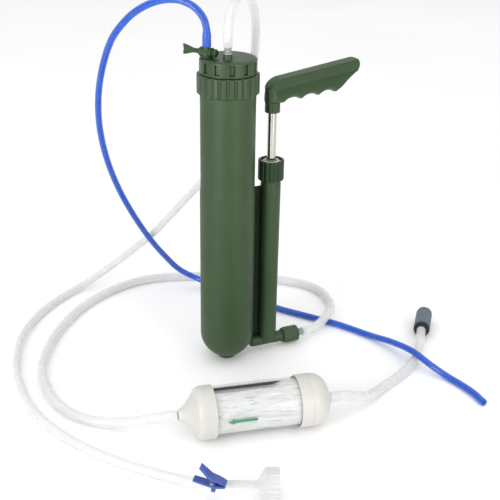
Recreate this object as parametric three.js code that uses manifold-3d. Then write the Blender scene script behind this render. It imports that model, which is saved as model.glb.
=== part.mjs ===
// A hand-pumped water filter for camping, with its hoses, pre-filter, strainer and bottle adapter.
// Millimetres, +Z up. The origin is the centre of the foot's underside, everything stands on Z = 0,
// and +X points from the filter vessel to the pump barrel.
import * as THREE from "three";
import { mergeVertices } from "three/addons/utils/BufferGeometryUtils.js";
import Module from "manifold-3d";

const wasm = await Module();
wasm.setup();

// ---- Driving dimensions ----
const GAP = 0.3; // between touching pieces
const ROUND = 28; // sides of a large round piece
const SMALL_ROUND = 14; // sides of a small round piece

const VESSEL = {
  upperRadius: 24.8, lowerRadius: 25.3, domeCentre: 27.5, footRadius: 8,
  stepBottom: 169, stepTop: 181, shoulder: 263.5, neckRadius: 22.6, neckTop: 289.9,
  boreRadius: 22.2, neckBore: 20.4, boreTop: 257,
};
const CARBON_STACK = { discRadius: 20, holeRadius: 7.4, heights: [33, 40, 88, 95] };
const COLLAR = { bottom: 263.9, top: 281.4, radius: 26.2, ribRadius: 27.6, ribs: 24, bore: 22.9 };
const CAP = { bottom: 281.8, top: 295.5, radius: 25.2, corner: 2.4, pads: 12, pocketDepth: 1.2 };
const OUTLET = { x: -5, y: -11.5, bossRadius: 3.9, bossTop: 300 };
const TAP = { x: -18.4, y: 3.6, z: 299.8, radius: 4, angle: -54.5, bore: 2.9, barbTop: 312 };

const PUMP = {
  x: 43, ductZ: 9.3, ductRadius: 5.5, ductEnd: 71, bore: 7, boreFloor: 13,
  topRadius: 9.5, bottomRadius: 8.8, neckBottom: 178, neckTop: 193.3, domeCentre: 14,
};
const WEB = { front: 2.2, back: 6.2, left: 22, right: 39, bottom: 9.3, top: 171 };
const NUT = { bottom: 178.3, top: 197.5, radius: 12, grooveRadius: 11.3, ribs: 16, bore: 9.8, lip: 7.9 };
const BUSH = { bore: 4.3, radius: 6.7, flangeRadius: 9.3, bottom: 184, flangeBottom: 193.6, top: 195.3 };
const ROD = { radius: 4, spigotRadius: 2.5, bottom: 61, shoulder: 74.8, top: 249 };
const PISTON = {
  bottom: 60.5, top: 74.5, radius: 6.5, grooveRadius: 5.5, bore: 2.8, grooves: [62.3, 68.7], grooveWidth: 3.4,
};
const HANDLE = { turn: 13, width: 15, socketBottom: 242, socketRadius: 6.8, groovePitch: 20.4, grooveDepth: 2.8 };
const INLET = { nutStart: 59.6, nutEnd: 76, nutRadius: 8, barbEnd: 86 };

const PREFILTER = { x: -24.3, y: -125.7, turn: -9.4, radius: 23, halfLength: 66.5, tubeRadius: 21.8 };
const STRAINER = { x: 198.2, y: -41, turn: 53, radius: 8.3, length: 38 };
const ADAPTER = { x: -59.8, y: -212, turn: -23.5, radius: 13.5, length: 17.5, stem: 26 };
const CLIP = { x: -92.7, y: -203.1, z: 20, turn: -35.3, dip: 8.5, width: 7, pinRadius: 1.1,
  hoseY: 6.2, hoseZ: -7.2, ringBore: 5.6 };

const HOSE = { inlet: 9, suction: 9, outlet: 8, flush: 6.35 };

// ---- Materials ----
const paint = (name, color, roughness, extra = {}) =>
  new THREE.MeshStandardMaterial({ name, color, roughness, metalness: 0, ...extra });
const materials = {
  greenShell: () => paint("green_shell", 0x3f5a3a, 0.38),
  greenGrip: () => paint("green_grip", 0x35552f, 0.35),
  whitePlastic: () => paint("white_plastic", 0xe4e2da, 0.45),
  warmWhite: () => paint("warm_white", 0xdedcd2, 0.4),
  greyBarb: () => paint("grey_barb", 0xa7adad, 0.35),
  chrome: () => paint("chrome", 0xc9cac6, 0.15, { metalness: 1 }),
  steel: () => paint("steel", 0x8d8f90, 0.3, { metalness: 1 }),
  blackRubber: () => paint("black_rubber", 0x1b1b1b, 0.7),
  clearPlastic: () => paint("clear_plastic", 0xeef2f2, 0.08, { transparent: true, opacity: 0.35 }),
  fibre: () => paint("fibre", 0xefefec, 0.85),
  carbon: () => paint("carbon", 0x1e1f20, 0.9),
  sponge: () => paint("sponge", 0x667078, 0.95),
  bluePlastic: () => paint("blue_plastic", 0x2f52c4, 0.3),
  blueHose: () => paint("blue_hose", 0x3459cf, 0.25),
  clearHose: () => paint("clear_hose", 0xe6e8e8, 0.25, { transparent: true, opacity: 0.75 }),
};

// ---- Geometry helpers ----
const rad = THREE.MathUtils.degToRad;

// A solid turned about Z from [radius, height] points, listed from the bottom up the outside.
function turned(profile, sides = ROUND) {
  const points = profile.map(([r, z]) => new THREE.Vector2(r, z));
  return new THREE.LatheGeometry(points, sides).rotateX(Math.PI / 2);
}

// The same, turned about X: each point is [radius, x].
function turnedAlongX(profile, sides = ROUND) {
  return turned(profile, sides).rotateY(Math.PI / 2);
}

// A disc, rod or washer about Z from z0 to z1. With a hole radius it is a ring.
function ring(outer, z0, z1, hole = 0, sides = SMALL_ROUND) {
  return hole
    ? turned([[hole, z0], [outer, z0], [outer, z1], [hole, z1], [hole, z0]], sides)
    : turned([[0, z0], [outer, z0], [outer, z1], [0, z1]], sides);
}

function ringAlongX(outer, x0, x1, hole = 0, sides = SMALL_ROUND) {
  return ring(outer, x0, x1, hole, sides).rotateY(Math.PI / 2);
}

// A rubber O-ring about Z, with its section's centre at (radius, height).
function sealRing(radius, section, height, sides = SMALL_ROUND) {
  const corners = 5;
  const profile = [];
  for (let i = 0; i <= corners; i++) {
    const angle = (i / corners) * 2 * Math.PI;
    profile.push([radius + section * Math.cos(angle), height + section * Math.sin(angle)]);
  }
  return turned(profile, sides);
}

function block(x0, x1, y0, y1, z0, z1) {
  return new THREE.BoxGeometry(x1 - x0, y1 - y0, z1 - z0)
    .translate((x0 + x1) / 2, (y0 + y1) / 2, (z0 + z1) / 2);
}

function extruded(shape, depth, bevel = 0) {
  return new THREE.ExtrudeGeometry(shape, {
    depth: depth - 2 * bevel, curveSegments: 6, bevelEnabled: bevel > 0,
    bevelThickness: bevel, bevelSize: bevel, bevelOffset: -bevel, bevelSegments: 2,
  }).translate(0, 0, bevel);
}

// A shape drawn in (x, z), given a width across Y and centred on Y = 0.
function upright(shape, width, bevel = 0) {
  return extruded(shape, width, bevel).translate(0, 0, -width / 2).rotateX(Math.PI / 2);
}

function solidOf(geometry) {
  const plain = geometry.clone();
  plain.deleteAttribute("normal");
  plain.deleteAttribute("uv");
  const merged = mergeVertices(plain, 1e-4);
  return new wasm.Manifold(new wasm.Mesh({
    numProp: 3,
    vertProperties: merged.attributes.position.array,
    triVerts: new Uint32Array(merged.index.array),
  }));
}

function geometryOf(solid) {
  const mesh = solid.getMesh();
  const geometry = new THREE.BufferGeometry();
  geometry.setAttribute("position", new THREE.BufferAttribute(mesh.vertProperties, 3));
  geometry.setIndex(new THREE.BufferAttribute(mesh.triVerts, 1));
  geometry.computeVertexNormals();
  return geometry;
}

function join(first, ...others) {
  return geometryOf(others.reduce((sum, g) => sum.add(solidOf(g)), solidOf(first)));
}

function cut(first, ...tools) {
  return geometryOf(tools.reduce((rest, g) => rest.subtract(solidOf(g)), solidOf(first)));
}

function add(group, name, geometry, material) {
  const mesh = new THREE.Mesh(geometry, material);
  mesh.name = name;
  group.add(mesh);
}

// Points on a circular arc in a profile, from one angle to another in degrees.
function arc(radius, r0, z0, from, to, steps) {
  return Array.from({ length: steps + 1 }, (_, i) => {
    const angle = rad(from + ((to - from) * i) / steps);
    return [r0 + radius * Math.cos(angle), z0 + radius * Math.sin(angle)];
  });
}

// A round outline whose edge rises into ribs, for extruding along Z.
function ribbedShape(ribRadius, grooveRadius, ribs, ribShare) {
  const pitch = (2 * Math.PI) / ribs;
  const half = (pitch * ribShare) / 2;
  const slope = pitch * 0.06;
  const shape = new THREE.Shape();
  for (let i = 0; i < ribs; i++) {
    const centre = i * pitch;
    const corners = [
      [grooveRadius, centre - half - slope], [ribRadius, centre - half],
      [ribRadius, centre + half], [grooveRadius, centre + half + slope],
    ];
    for (const [radius, angle] of corners) {
      const point = [radius * Math.cos(angle), radius * Math.sin(angle)];
      if (i === 0 && shape.curves.length === 0 && angle === corners[0][1]) shape.moveTo(...point);
      else shape.lineTo(...point);
    }
  }
  return shape;
}

// ---- Filter vessel ----
// The outside of the vessel, grown by a clearance, from the foot's centre up to the neck's shoulder.
function vesselOutline(clearance = 0) {
  const { lowerRadius, upperRadius, domeCentre, stepBottom, stepTop, shoulder } = VESSEL;
  const lower = lowerRadius + clearance;
  const upper = upperRadius + clearance;
  return [
    [0, domeCentre - lower],
    ...arc(lower, 0, domeCentre, -72, 0, 7),
    [lower, stepBottom], [upper, stepTop], [upper, shoulder],
  ];
}

function vesselShell() {
  const v = VESSEL;
  const neck = [[v.neckRadius, v.shoulder], [v.neckRadius, v.neckTop], [v.neckBore, v.neckTop]];
  const inside = [
    [v.neckBore, v.boreTop + 2], [v.boreRadius, v.boreTop], [v.boreRadius, v.domeCentre],
    ...arc(v.boreRadius, 0, v.domeCentre, -18, -90, 4),
  ];
  const shell = turned([...vesselOutline(), ...neck, ...inside]);
  const foot = ring(v.footRadius, 0, v.domeCentre - 23.6, 0, 32);
  const port = ringAlongX(2.5, 0, v.lowerRadius).translate(0, 0, PUMP.ductZ);
  return cut(join(shell, foot), port);
}

function collarRing() {
  const shape = ribbedShape(COLLAR.ribRadius, COLLAR.radius, COLLAR.ribs, 0.66);
  const hole = new THREE.Path().absarc(0, 0, COLLAR.bore, 0, 2 * Math.PI, true);
  shape.holes.push(hole);
  const blank = new THREE.ExtrudeGeometry(shape, {
    depth: COLLAR.top - COLLAR.bottom, bevelEnabled: false, curveSegments: ROUND,
  });
  return blank.translate(0, 0, COLLAR.bottom);
}

function topCap() {
  const plate = CAP.top - 4;
  const skirt = COLLAR.bore;
  const body = turned([
    [skirt, CAP.bottom], [CAP.radius, CAP.bottom],
    ...arc(CAP.corner, CAP.radius - CAP.corner, CAP.top - CAP.corner, 0, 90, 3),
    [0, CAP.top], [0, plate], [19.1, plate], [19.1, 285], [20.1, 285], [20.1, plate],
    [skirt, plate], [skirt, CAP.bottom],
  ]);
  const boss = ring(OUTLET.bossRadius, CAP.top - 1, OUTLET.bossTop).translate(OUTLET.x, OUTLET.y, 0);
  const outletHole = ring(2.8, plate - 1, OUTLET.bossTop + 1).translate(OUTLET.x, OUTLET.y, 0);
  const flushHole = ring(1.8, plate - 1, CAP.top + 1).translate(TAP.x * 0.9, TAP.y * 0.9, 0);
  const pockets = [];
  for (let i = 0; i < CAP.pads; i++) {
    const pocket = block(CAP.radius - CAP.pocketDepth, CAP.radius + 1, -2.65, 2.65, 284, 292.6);
    pockets.push(pocket.rotateZ(rad(-103.9 + (i * 360) / CAP.pads)));
  }
  return cut(join(body, boss), outletHole, flushHole, ...pockets);
}

function outletBarb() {
  return turned([
    [1.5, 292.5], [2.5, 292.5], [2.5, 300.3], [3.5, 300.3], [3.5, 301.3], [2.6, 301.3],
    [3.1, 304], [2.4, 304.2], [2.9, 307], [2.3, 307.2], [2.6, 310], [1.5, 310], [1.5, 292.5],
  ], SMALL_ROUND).translate(OUTLET.x, OUTLET.y, 0);
}

function buildVessel(group) {
  add(group, "filter_housing", vesselShell(), materials.greenShell());
  add(group, "neck_collar", collarRing(), materials.greenShell());
  add(group, "top_cap", topCap(), materials.greenShell());
  add(group, "cap_seal", sealRing(21.5, 0.6, 290.7, ROUND), materials.blackRubber());
  add(group, "outlet_barb", outletBarb(), materials.greyBarb());
}

// ---- Filter elements inside the vessel, from the bottom up ----
function buildElements(group) {
  const cage = [[0, 31], [20, 31], [20, 33], [7, 33], [7, 90], [5.2, 90], [5.2, 33.6], [0, 33.6]];
  const { discRadius, holeRadius, heights } = CARBON_STACK;
  add(group, "carbon_core_tube", turned(cage, SMALL_ROUND), materials.whitePlastic());
  const stack = [
    ["lower_sponge", materials.sponge()], ["carbon_block", materials.carbon()], ["upper_sponge", materials.sponge()],
  ];
  stack.forEach(([name, material], i) => {
    add(group, name, ring(discRadius, heights[i] + 0.4, heights[i + 1], holeRadius), material);
  });
  const shell = [
    [17.8, 100], [19.6, 100], [19.6, 262], [18.2, 262], [18.2, 250], [17.8, 250], [17.8, 100],
  ];
  const windows = [];
  for (let i = 0; i < 4; i++) {
    windows.push(block(15, 22, -4, 4, 106, 128).rotateZ(rad(i * 90 + 45)));
  }
  add(group, "ultrafilter_shell", cut(turned(shell, 24), ...windows), materials.whitePlastic());
  add(group, "hollow_fibre_bundle", ring(17.2, 101, 248, 0, SMALL_ROUND), materials.fibre());
  add(group, "potting_disc", ring(17.8, 250.4, 261.5, 0, SMALL_ROUND), materials.warmWhite());
  add(group, "cartridge_seal", sealRing(19.2, 0.75, 263.2, 20), materials.blackRubber());
}

// ---- Flush tap on the cap ----
function tapBody() {
  const base = ring(4.6, CAP.top + GAP, TAP.z - 1);
  const barrel = ringAlongX(TAP.radius, -6, 6).translate(0, 0, TAP.z);
  const barb = turned([
    [0, TAP.z], [3.4, TAP.z], [3.4, 304], [2.5, 304], [3.1, 307], [2.4, 307.2], [2.8, 309.5],
    [2.2, 309.7], [2.5, TAP.barbTop], [0, TAP.barbTop],
  ], SMALL_ROUND);
  const rotorBore = ringAlongX(TAP.bore, -8, 8).translate(0, 0, TAP.z);
  const passage = ring(1.4, CAP.top - 1, TAP.barbTop + 1);
  return cut(join(base, barrel, barb), rotorBore, passage);
}

// The rotor's axis is the group's X. The wing is a flat fish-tail that stands upright when shut.
function tapRotor() {
  const wing = new THREE.Shape();
  wing.moveTo(-6.6, -2.3);
  wing.lineTo(-6.6, 2.3);
  wing.quadraticCurveTo(-14, 2.1, -22.5, 4.3);
  wing.quadraticCurveTo(-24.6, 2.5, -24.2, 0);
  wing.quadraticCurveTo(-24.6, -2.5, -22.5, -4.3);
  wing.quadraticCurveTo(-14, -2.1, -6.6, -2.3);
  const shaft = turnedAlongX([
    [0, -7.5], [2.6, -7.5], [2.6, 6.3], [1.5, 6.3], [1.5, 9.6], [0, 9.6],
  ], SMALL_ROUND);
  const port = ring(1.3, -4, 4);
  return cut(join(shaft, upright(wing, 3)), port).translate(0, 0, TAP.z);
}

function buildTap(group) {
  const tap = new THREE.Group();
  tap.position.set(TAP.x, TAP.y, 0);
  tap.rotation.z = rad(TAP.angle);
  group.add(tap);
  const knob = turnedAlongX([
    [1.8, 6.6], [3.1, 6.6], [3.4, 7.4], [3.4, 9.4], [2.6, 10.4], [1.8, 10.4], [1.8, 6.6],
  ], SMALL_ROUND).translate(0, 0, TAP.z);
  add(tap, "tap_body", tapBody(), materials.greenShell());
  add(tap, "tap_rotor", tapRotor(), materials.greenGrip());
  add(tap, "tap_retainer", knob, materials.greenGrip());
}

// ---- Pump ----
// The stepped waterway through the duct, with a seat and a ball chamber for each check valve.
function waterway() {
  return turnedAlongX([
    [0, 10], [2.9, 10], [2.9, 34], [1.8, 34], [1.8, 49], [2.9, 49], [2.9, 57], [1.8, 57],
    [1.8, 58.5], [2.5, 58.5], [2.5, 80], [0, 80],
  ], SMALL_ROUND).translate(0, 0, PUMP.ductZ);
}

function pumpBody() {
  const p = PUMP;
  const barrel = turned([
    [0, p.domeCentre - p.bottomRadius], ...arc(p.bottomRadius, 0, p.domeCentre, -65, 0, 5),
    [p.topRadius, p.neckBottom - 6], [p.topRadius, p.neckTop], [0, p.neckTop],
  ]).translate(p.x, 0, 0);
  const duct = ringAlongX(p.ductRadius, 10, p.ductEnd, 0, 24).translate(0, 0, p.ductZ);
  const web = block(WEB.left, WEB.right, WEB.front, WEB.back, WEB.bottom, WEB.top);
  const bore = ring(p.bore, p.boreFloor, p.neckTop + 1, 0, 32).translate(p.x, 0, 0);
  const port = ring(2.2, p.ductZ, p.boreFloor + 1).translate(p.x, 0, 0);
  const vessel = turned([...vesselOutline(GAP), [0, VESSEL.shoulder]], ROUND);
  return cut(join(barrel, duct, web), bore, port, waterway(), vessel);
}

function glandNut() {
  const shape = ribbedShape(NUT.radius, NUT.grooveRadius, NUT.ribs, 0.6);
  const blank = extruded(shape, NUT.top - NUT.bottom).translate(0, 0, NUT.bottom);
  const bore = ring(NUT.bore, NUT.bottom - 1, 195.7, 0, 24);
  const lip = ring(NUT.lip, NUT.bottom, NUT.top + 1, 0, 24);
  return cut(blank, bore, lip);
}

function piston() {
  const p = PISTON;
  const profile = [[p.bore, p.bottom], [p.radius, p.bottom]];
  for (const z of p.grooves) {
    const end = z + p.grooveWidth;
    profile.push([p.radius, z], [p.grooveRadius, z], [p.grooveRadius, end], [p.radius, end]);
  }
  profile.push([p.radius, p.top], [p.bore, p.top], [p.bore, p.bottom]);
  return turned(profile, 20);
}

// The handle's outline in its own plane: x runs out along the grip from the rod's axis.
function handleOutline() {
  const cusp = (i) => 9 + i * HANDLE.groovePitch;
  const under = 249.8;
  const shape = new THREE.Shape();
  shape.moveTo(-7.6, 251);
  shape.lineTo(-7.6, 264.5);
  shape.quadraticCurveTo(-3, 270.5, 9, 273);
  shape.lineTo(94, 279.4);
  shape.quadraticCurveTo(98.5, 279.2, 99.5, 272.6);
  shape.lineTo(96.5, 268.2);
  shape.quadraticCurveTo(84, 263, 78, 255.2);
  shape.lineTo(cusp(3), under + 1.2);
  for (let i = 2; i >= 0; i--) {
    const mid = (cusp(i) + cusp(i + 1)) / 2;
    shape.quadraticCurveTo(mid, under + 0.6 + 2 * HANDLE.grooveDepth, cusp(i), under + 0.4 * i);
  }
  shape.lineTo(-7.6, 249.8);
  return shape;
}

function handle() {
  const grip = upright(handleOutline(), HANDLE.width, 2);
  const socket = ring(HANDLE.socketRadius, HANDLE.socketBottom, 252, 0, 24);
  const rodHole = ring(ROD.radius + GAP, HANDLE.socketBottom - 1, ROD.top + 2 * GAP, 0, 24);
  return cut(join(grip, socket), rodHole);
}

function buildPump(group) {
  const pump = new THREE.Group();
  pump.position.x = PUMP.x;
  group.add(pump);
  add(group, "pump_barrel", pumpBody(), materials.greenShell());
  add(pump, "gland_nut", glandNut(), materials.greenShell());
  const bush = BUSH;
  add(pump, "rod_bush", turned([
    [bush.bore, bush.bottom], [bush.radius, bush.bottom], [bush.radius, bush.flangeBottom],
    [bush.flangeRadius, bush.flangeBottom], [bush.flangeRadius, bush.top], [bush.bore, bush.top],
    [bush.bore, bush.bottom],
  ], 24), materials.whitePlastic());
  const sealTop = bush.bottom - 0.4;
  add(pump, "rod_seal", ring(bush.radius, sealTop - 3.1, sealTop, bush.bore, 24), materials.blackRubber());

  const rod = turned([
    [1.8, ROD.bottom], [ROD.spigotRadius, ROD.bottom], [ROD.spigotRadius, ROD.shoulder],
    [ROD.radius, ROD.shoulder], [ROD.radius, ROD.top], [0, ROD.top], [0, 72], [1.8, 72],
    [1.8, ROD.bottom],
  ], 24);
  const screw = turned([
    [0, 57.4], [4, 57.4], [4, 60.1], [1.4, 60.1], [1.4, 71], [0, 71],
  ], SMALL_ROUND);
  add(pump, "piston_rod", rod, materials.chrome());
  add(pump, "piston", piston(), materials.whitePlastic());
  add(pump, "piston_screw", screw, materials.steel());
  PISTON.grooves.forEach((z, i) => {
    const name = ["piston_seal_lower", "piston_seal_upper"][i];
    add(pump, name, sealRing(6.2, 0.6, z + PISTON.grooveWidth / 2, 20), materials.blackRubber());
  });
  const grip = handle().rotateZ(rad(HANDLE.turn));
  add(pump, "pump_handle", grip, materials.greenGrip());
}

// ---- Inlet fitting and check valves ----
function inletNut() {
  const shape = ribbedShape(INLET.nutRadius, INLET.nutRadius - 0.5, 12, 0.6);
  const blank = extruded(shape, INLET.nutEnd - INLET.nutStart).translate(0, 0, INLET.nutStart);
  const thread = ring(PUMP.ductRadius + GAP, INLET.nutStart - 1, 73.2, 0, 24);
  const hole = ring(3.6, INLET.nutStart, INLET.nutEnd + 1);
  return cut(blank, thread, hole).rotateY(Math.PI / 2);
}

function buildInlet(group) {
  const inlet = new THREE.Group();
  inlet.position.z = PUMP.ductZ;
  group.add(inlet);
  const barb = turnedAlongX([
    [1.7, 71.9], [5.4, 71.9], [5.4, 72.9], [3.3, 72.9], [3.3, 77], [3.9, 79], [3.2, 79.2],
    [3.8, 81.6], [3.1, 81.8], [3.6, 84.2], [2.9, 84.4], [3, INLET.barbEnd], [1.7, INLET.barbEnd],
    [1.7, 71.9],
  ], SMALL_ROUND);
  const gasket = ringAlongX(5.3, 71.3, 71.6, 2.6, SMALL_ROUND);
  add(inlet, "inlet_nut", inletNut(), materials.greenShell());
  add(inlet, "inlet_barb", barb, materials.greyBarb());
  add(inlet, "inlet_gasket", gasket, materials.blackRubber());
  for (const [name, seat] of [["inlet_check_ball", 57], ["transfer_check_ball", 34]]) {
    const ball = new THREE.SphereGeometry(2.6, 12, 8).translate(seat - 2.1, 0, 0);
    add(inlet, name, ball, materials.steel());
  }
}

// ---- Pre-filter cartridge ----
// One end cap, drawn for the +X end: a ring on the tube, a cone or dome, and the hose nozzle.
function prefilterCap(shoulder) {
  const { halfLength: end, radius, tubeRadius } = PREFILTER;
  const inner = end - 27;
  return [
    [tubeRadius + 0.2, end - 30], [radius, end - 30], ...shoulder, [4.9, end], [2.6, end],
    [2.6, end - 8], [tubeRadius - 2.6, end - 21], [tubeRadius - 2.6, inner + 3],
    [tubeRadius + 0.2, inner + 3], [tubeRadius + 0.2, end - 30],
  ];
}

function buildPrefilter(group) {
  const filter = new THREE.Group();
  filter.position.set(PREFILTER.x, PREFILTER.y, PREFILTER.radius);
  filter.rotation.z = rad(PREFILTER.turn);
  group.add(filter);
  const { halfLength: end, radius, tubeRadius } = PREFILTER;
  const cone = [[radius, end - 19], [radius - 2.4, end - 15.5], [13, end - 9], [6, end - 4.5]];
  const dome = [[radius, end - 15], ...arc(14, radius - 14, end - 17, 25, 68, 4), [6, end - 2.6]];
  add(filter, "prefilter_outlet_cap", turnedAlongX(prefilterCap(cone), ROUND).rotateZ(Math.PI),
    materials.warmWhite());
  add(filter, "prefilter_inlet_cap", turnedAlongX(prefilterCap(dome), ROUND), materials.warmWhite());
  const tubeEnd = end - 24.4;
  add(filter, "prefilter_tube", ringAlongX(tubeRadius, -tubeEnd, tubeEnd, tubeRadius - 1.8, ROUND),
    materials.clearPlastic());
  add(filter, "prefilter_media", ringAlongX(19.4, -39, 39, 0, 24), materials.fibre());
  for (const [name, x] of [["prefilter_outlet_screen", -41], ["prefilter_inlet_screen", 40]]) {
    add(filter, name, ringAlongX(19.6, x, x + 1, 0, 24), materials.whitePlastic());
  }
}

// ---- Strainer on the suction hose ----
function buildStrainer(group) {
  const strainer = new THREE.Group();
  strainer.position.set(STRAINER.x, STRAINER.y, STRAINER.radius + 0.1);
  strainer.rotation.z = rad(STRAINER.turn);
  group.add(strainer);
  const head = turnedAlongX([
    [1.6, -6], [2.9, -6], [3.4, -4], [2.9, -3.8], [3.3, -1.6], [2.9, -1.4], [2.9, 0], [8, 0], [8, 3],
    [3, 3], [3, 30], [1.6, 30], [1.6, -6],
  ], SMALL_ROUND);
  const foam = turnedAlongX([
    [3.4, 3.3], [STRAINER.radius, 3.3], [STRAINER.radius, STRAINER.length - 1.5],
    [STRAINER.radius - 1.5, STRAINER.length], [0, STRAINER.length], [0, 31], [3.4, 31], [3.4, 3.3],
  ], 24);
  add(strainer, "strainer_head", head, materials.blackRubber());
  add(strainer, "strainer_foam", foam, materials.sponge());
}

// ---- Bottle adapter and its clip on the outlet hose ----
function buildAdapter(group) {
  const adapter = new THREE.Group();
  adapter.position.set(ADAPTER.x, ADAPTER.y, ADAPTER.radius + 0.1);
  adapter.rotation.z = rad(ADAPTER.turn);
  group.add(adapter);
  const { radius, length, stem } = ADAPTER;
  const shape = ribbedShape(radius, radius - 0.6, 20, 0.55);
  const skirt = extruded(shape, length - 6).translate(0, 0, 6).rotateY(Math.PI / 2);
  const cone = turnedAlongX([
    [0, -stem], [2.9, -stem], [2.9, -1], [4, 0.5], [radius - 1, 5.4], [radius - 1, 6.5], [0, 6.5],
  ], 24);
  const hollow = turnedAlongX([
    [0, -stem - 1], [1.7, -stem - 1], [1.7, 5], [6, 7], [11.4, 7], [11.4, length + 1], [0, length + 1],
  ], 24);
  add(adapter, "bottle_adapter", cut(join(skirt, cone), hollow), materials.warmWhite());
  add(adapter, "adapter_gasket", ringAlongX(11, 7.3, 8.8, 6.5, 24), materials.whitePlastic());
}

// The clip's X runs from its finger tails to its jaws, and its hinge pin lies along Y.
function clipArm(points) {
  const shape = new THREE.Shape(points.map(([x, z]) => new THREE.Vector2(x, z)));
  return upright(shape, CLIP.width);
}

// A disc about the hinge pin, from one place across the width to another.
function clipDisc(radius, from, to, hole = 0) {
  return ring(radius, from, to, hole, 12).rotateX(-Math.PI / 2);
}

// The lower arm has an ear at each side of the hinge, and a ring that holds the hose beside it.
function clipLowerArm() {
  const half = CLIP.width / 2;
  const arm = clipArm([
    [10.5, -0.3], [2, -1.9], [-3, -2], [-14.8, -1.6], [-15.2, -3], [-3, -4.2], [3, -4], [10.5, -1.9],
  ]);
  const ears = [clipDisc(2.6, -half, -2.7), clipDisc(2.6, 2.7, half)];
  const hoseRing = ringAlongX(CLIP.ringBore + 1.1, -0.4, 2.6, 0, 16);
  hoseRing.translate(0, CLIP.hoseY, CLIP.hoseZ);
  const way = ringAlongX(CLIP.ringBore, -4, 6, 0, 16).translate(0, CLIP.hoseY, CLIP.hoseZ);
  const slot = clipDisc(2.6, -2.7, 2.7);
  const pinHole = clipDisc(CLIP.pinRadius + GAP, -half - 1, half + 1);
  return cut(join(arm, ...ears, hoseRing), way, slot, pinHole);
}

function clipUpperArm() {
  const half = CLIP.width / 2;
  const arm = clipArm([
    [10.5, 0.3], [10.5, 1.9], [4, 4.2], [-1, 5], [-10.6, 11.2], [-11.5, 10], [-3.4, 2.6], [2, 1.9],
  ]);
  const besideEars = [clipDisc(2.9, -half - 1, -2.4), clipDisc(2.9, 2.4, half + 1)];
  const knuckle = clipDisc(2.3, -2.4, 2.4);
  const pinHole = clipDisc(CLIP.pinRadius + GAP, -half - 1, half + 1);
  return cut(join(arm, knuckle), ...besideEars, pinHole);
}

function buildClip(group) {
  const clip = new THREE.Group();
  clip.position.set(CLIP.x, CLIP.y, CLIP.z);
  clip.rotation.set(0, rad(CLIP.dip), rad(CLIP.turn), "ZYX");
  group.add(clip);
  const half = CLIP.width / 2;
  add(clip, "clip_lower_arm", clipLowerArm(), materials.bluePlastic());
  add(clip, "clip_upper_arm", clipUpperArm(), materials.bluePlastic());
  add(clip, "clip_pin", clipDisc(CLIP.pinRadius, -half - 0.6, half + 0.6), materials.steel());
}

// ---- Hoses: each route runs along the hose's centreline ----
const ROUTES = {
  inlet_hose: [
    [86.4, 0, 9.3], [94, 0.6, 9.7], [107, 6.5, 11.6], [121, 18.5, 12.5], [134, 36, 8.6], [142.5, 57, 4.8],
    [145, 78, 4.8], [140, 96, 4.8], [130, 110, 4.8], [112, 126, 4.8], [85, 143, 4.8], [52, 159, 4.8],
    [18, 172, 4.8], [-9, 179, 4.8], [-36, 179, 4.8], [-66, 169, 4.8], [-98, 150, 4.8],
    [-125, 124, 4.8], [-148, 93, 4.8], [-165, 60, 4.8], [-175, 30, 4.8], [-178, 2, 4.8],
    [-176, -26, 4.8], [-170, -46, 4.8], [-161, -61, 4.8], [-149, -72.5, 5], [-136, -83, 7.5],
    [-123, -94, 12], [-111, -104, 18], [-100.5, -111, 22], [-90.8, -114.6, 23],
  ],
  suction_hose: [
    [41.8, -136.7, 23], [47, -137.5, 22.9], [52, -138.1, 22.5], [58.5, -138.3, 21.2], [65, -138, 19.3],
    [72, -136.3, 16.3], [79, -133.5, 13], [86, -129.9, 10.1], [93, -126, 7.8], [108, -116.5, 5],
    [124, -109, 4.8], [140, -100.5, 4.8], [155, -91, 4.8], [168, -79.5, 5.2], [180, -66, 6.8],
    [187.6, -55.7, 7.8], [194.2, -46.3, 8.4],
  ],
  outlet_hose: [
    [-5, -11.5, 310.4], [-5, -11.4, 318], [-4, -10.5, 328], [0, -6.8, 337.5], [8, 0.4, 344.5],
    [18, 9.4, 346], [27.5, 18.5, 341], [35.5, 28, 329], [42, 38, 309], [46.5, 52, 276],
    [47, 68, 238], [41.5, 83, 201], [30.5, 98, 167], [14, 117, 134],
    [-2, 134, 107], [-19, 156, 75], [-34, 171, 54], [-58, 188, 28], [-86, 193, 9], [-113, 180, 4.5],
    [-143, 155, 4.5], [-168, 124, 4.5], [-183, 95, 4.5], [-192, 65, 4.5], [-197.5, 39, 4.5],
    [-199.5, 13, 4.5], [-199, -13, 4.5], [-196, -36, 4.5], [-190, -59, 4.5], [-181, -81, 4.5],
    [-169, -103, 4.5], [-156, -122, 4.5], [-142, -140, 4.5], [-127, -156, 4.5],
    [-113, -171, 5.2], [-102, -184, 8], [-92.5, -196.5, 12.5], [-84.1, -201.4, 13.6],
  ],
  flush_hose: [
    [-18.4, 3.6, 312.6], [-18.5, 3.7, 319], [-20.5, 5.5, 328], [-26.5, 10.5, 336.5],
    [-36, 19, 341.5], [-47, 29, 341], [-58, 39.5, 336], [-68, 51.5, 327], [-76, 64, 314.5], [-82, 76, 300], [-87, 91, 274], [-89, 104, 245],
    [-87, 116, 214], [-81, 127, 184], [-72, 137, 155], [-60, 144, 125], [-45, 149, 95],
    [-28, 153, 66], [-11, 156.5, 42], [5, 157, 23], [19, 152.5, 13.6], [38, 134, 7.5],
    [59, 105, 3.6], [84, 65.5, 3.5], [105, 38.5, 3.5], [128, 9, 3.5], [147, -24.5, 4],
    [157, -54, 9], [161.5, -84, 13.4], [168, -104, 9], [176, -120, 4], [180.5, -137, 3.5],
    [183, -154, 3.5], [182.5, -171, 3.5],
  ],
};

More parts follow.
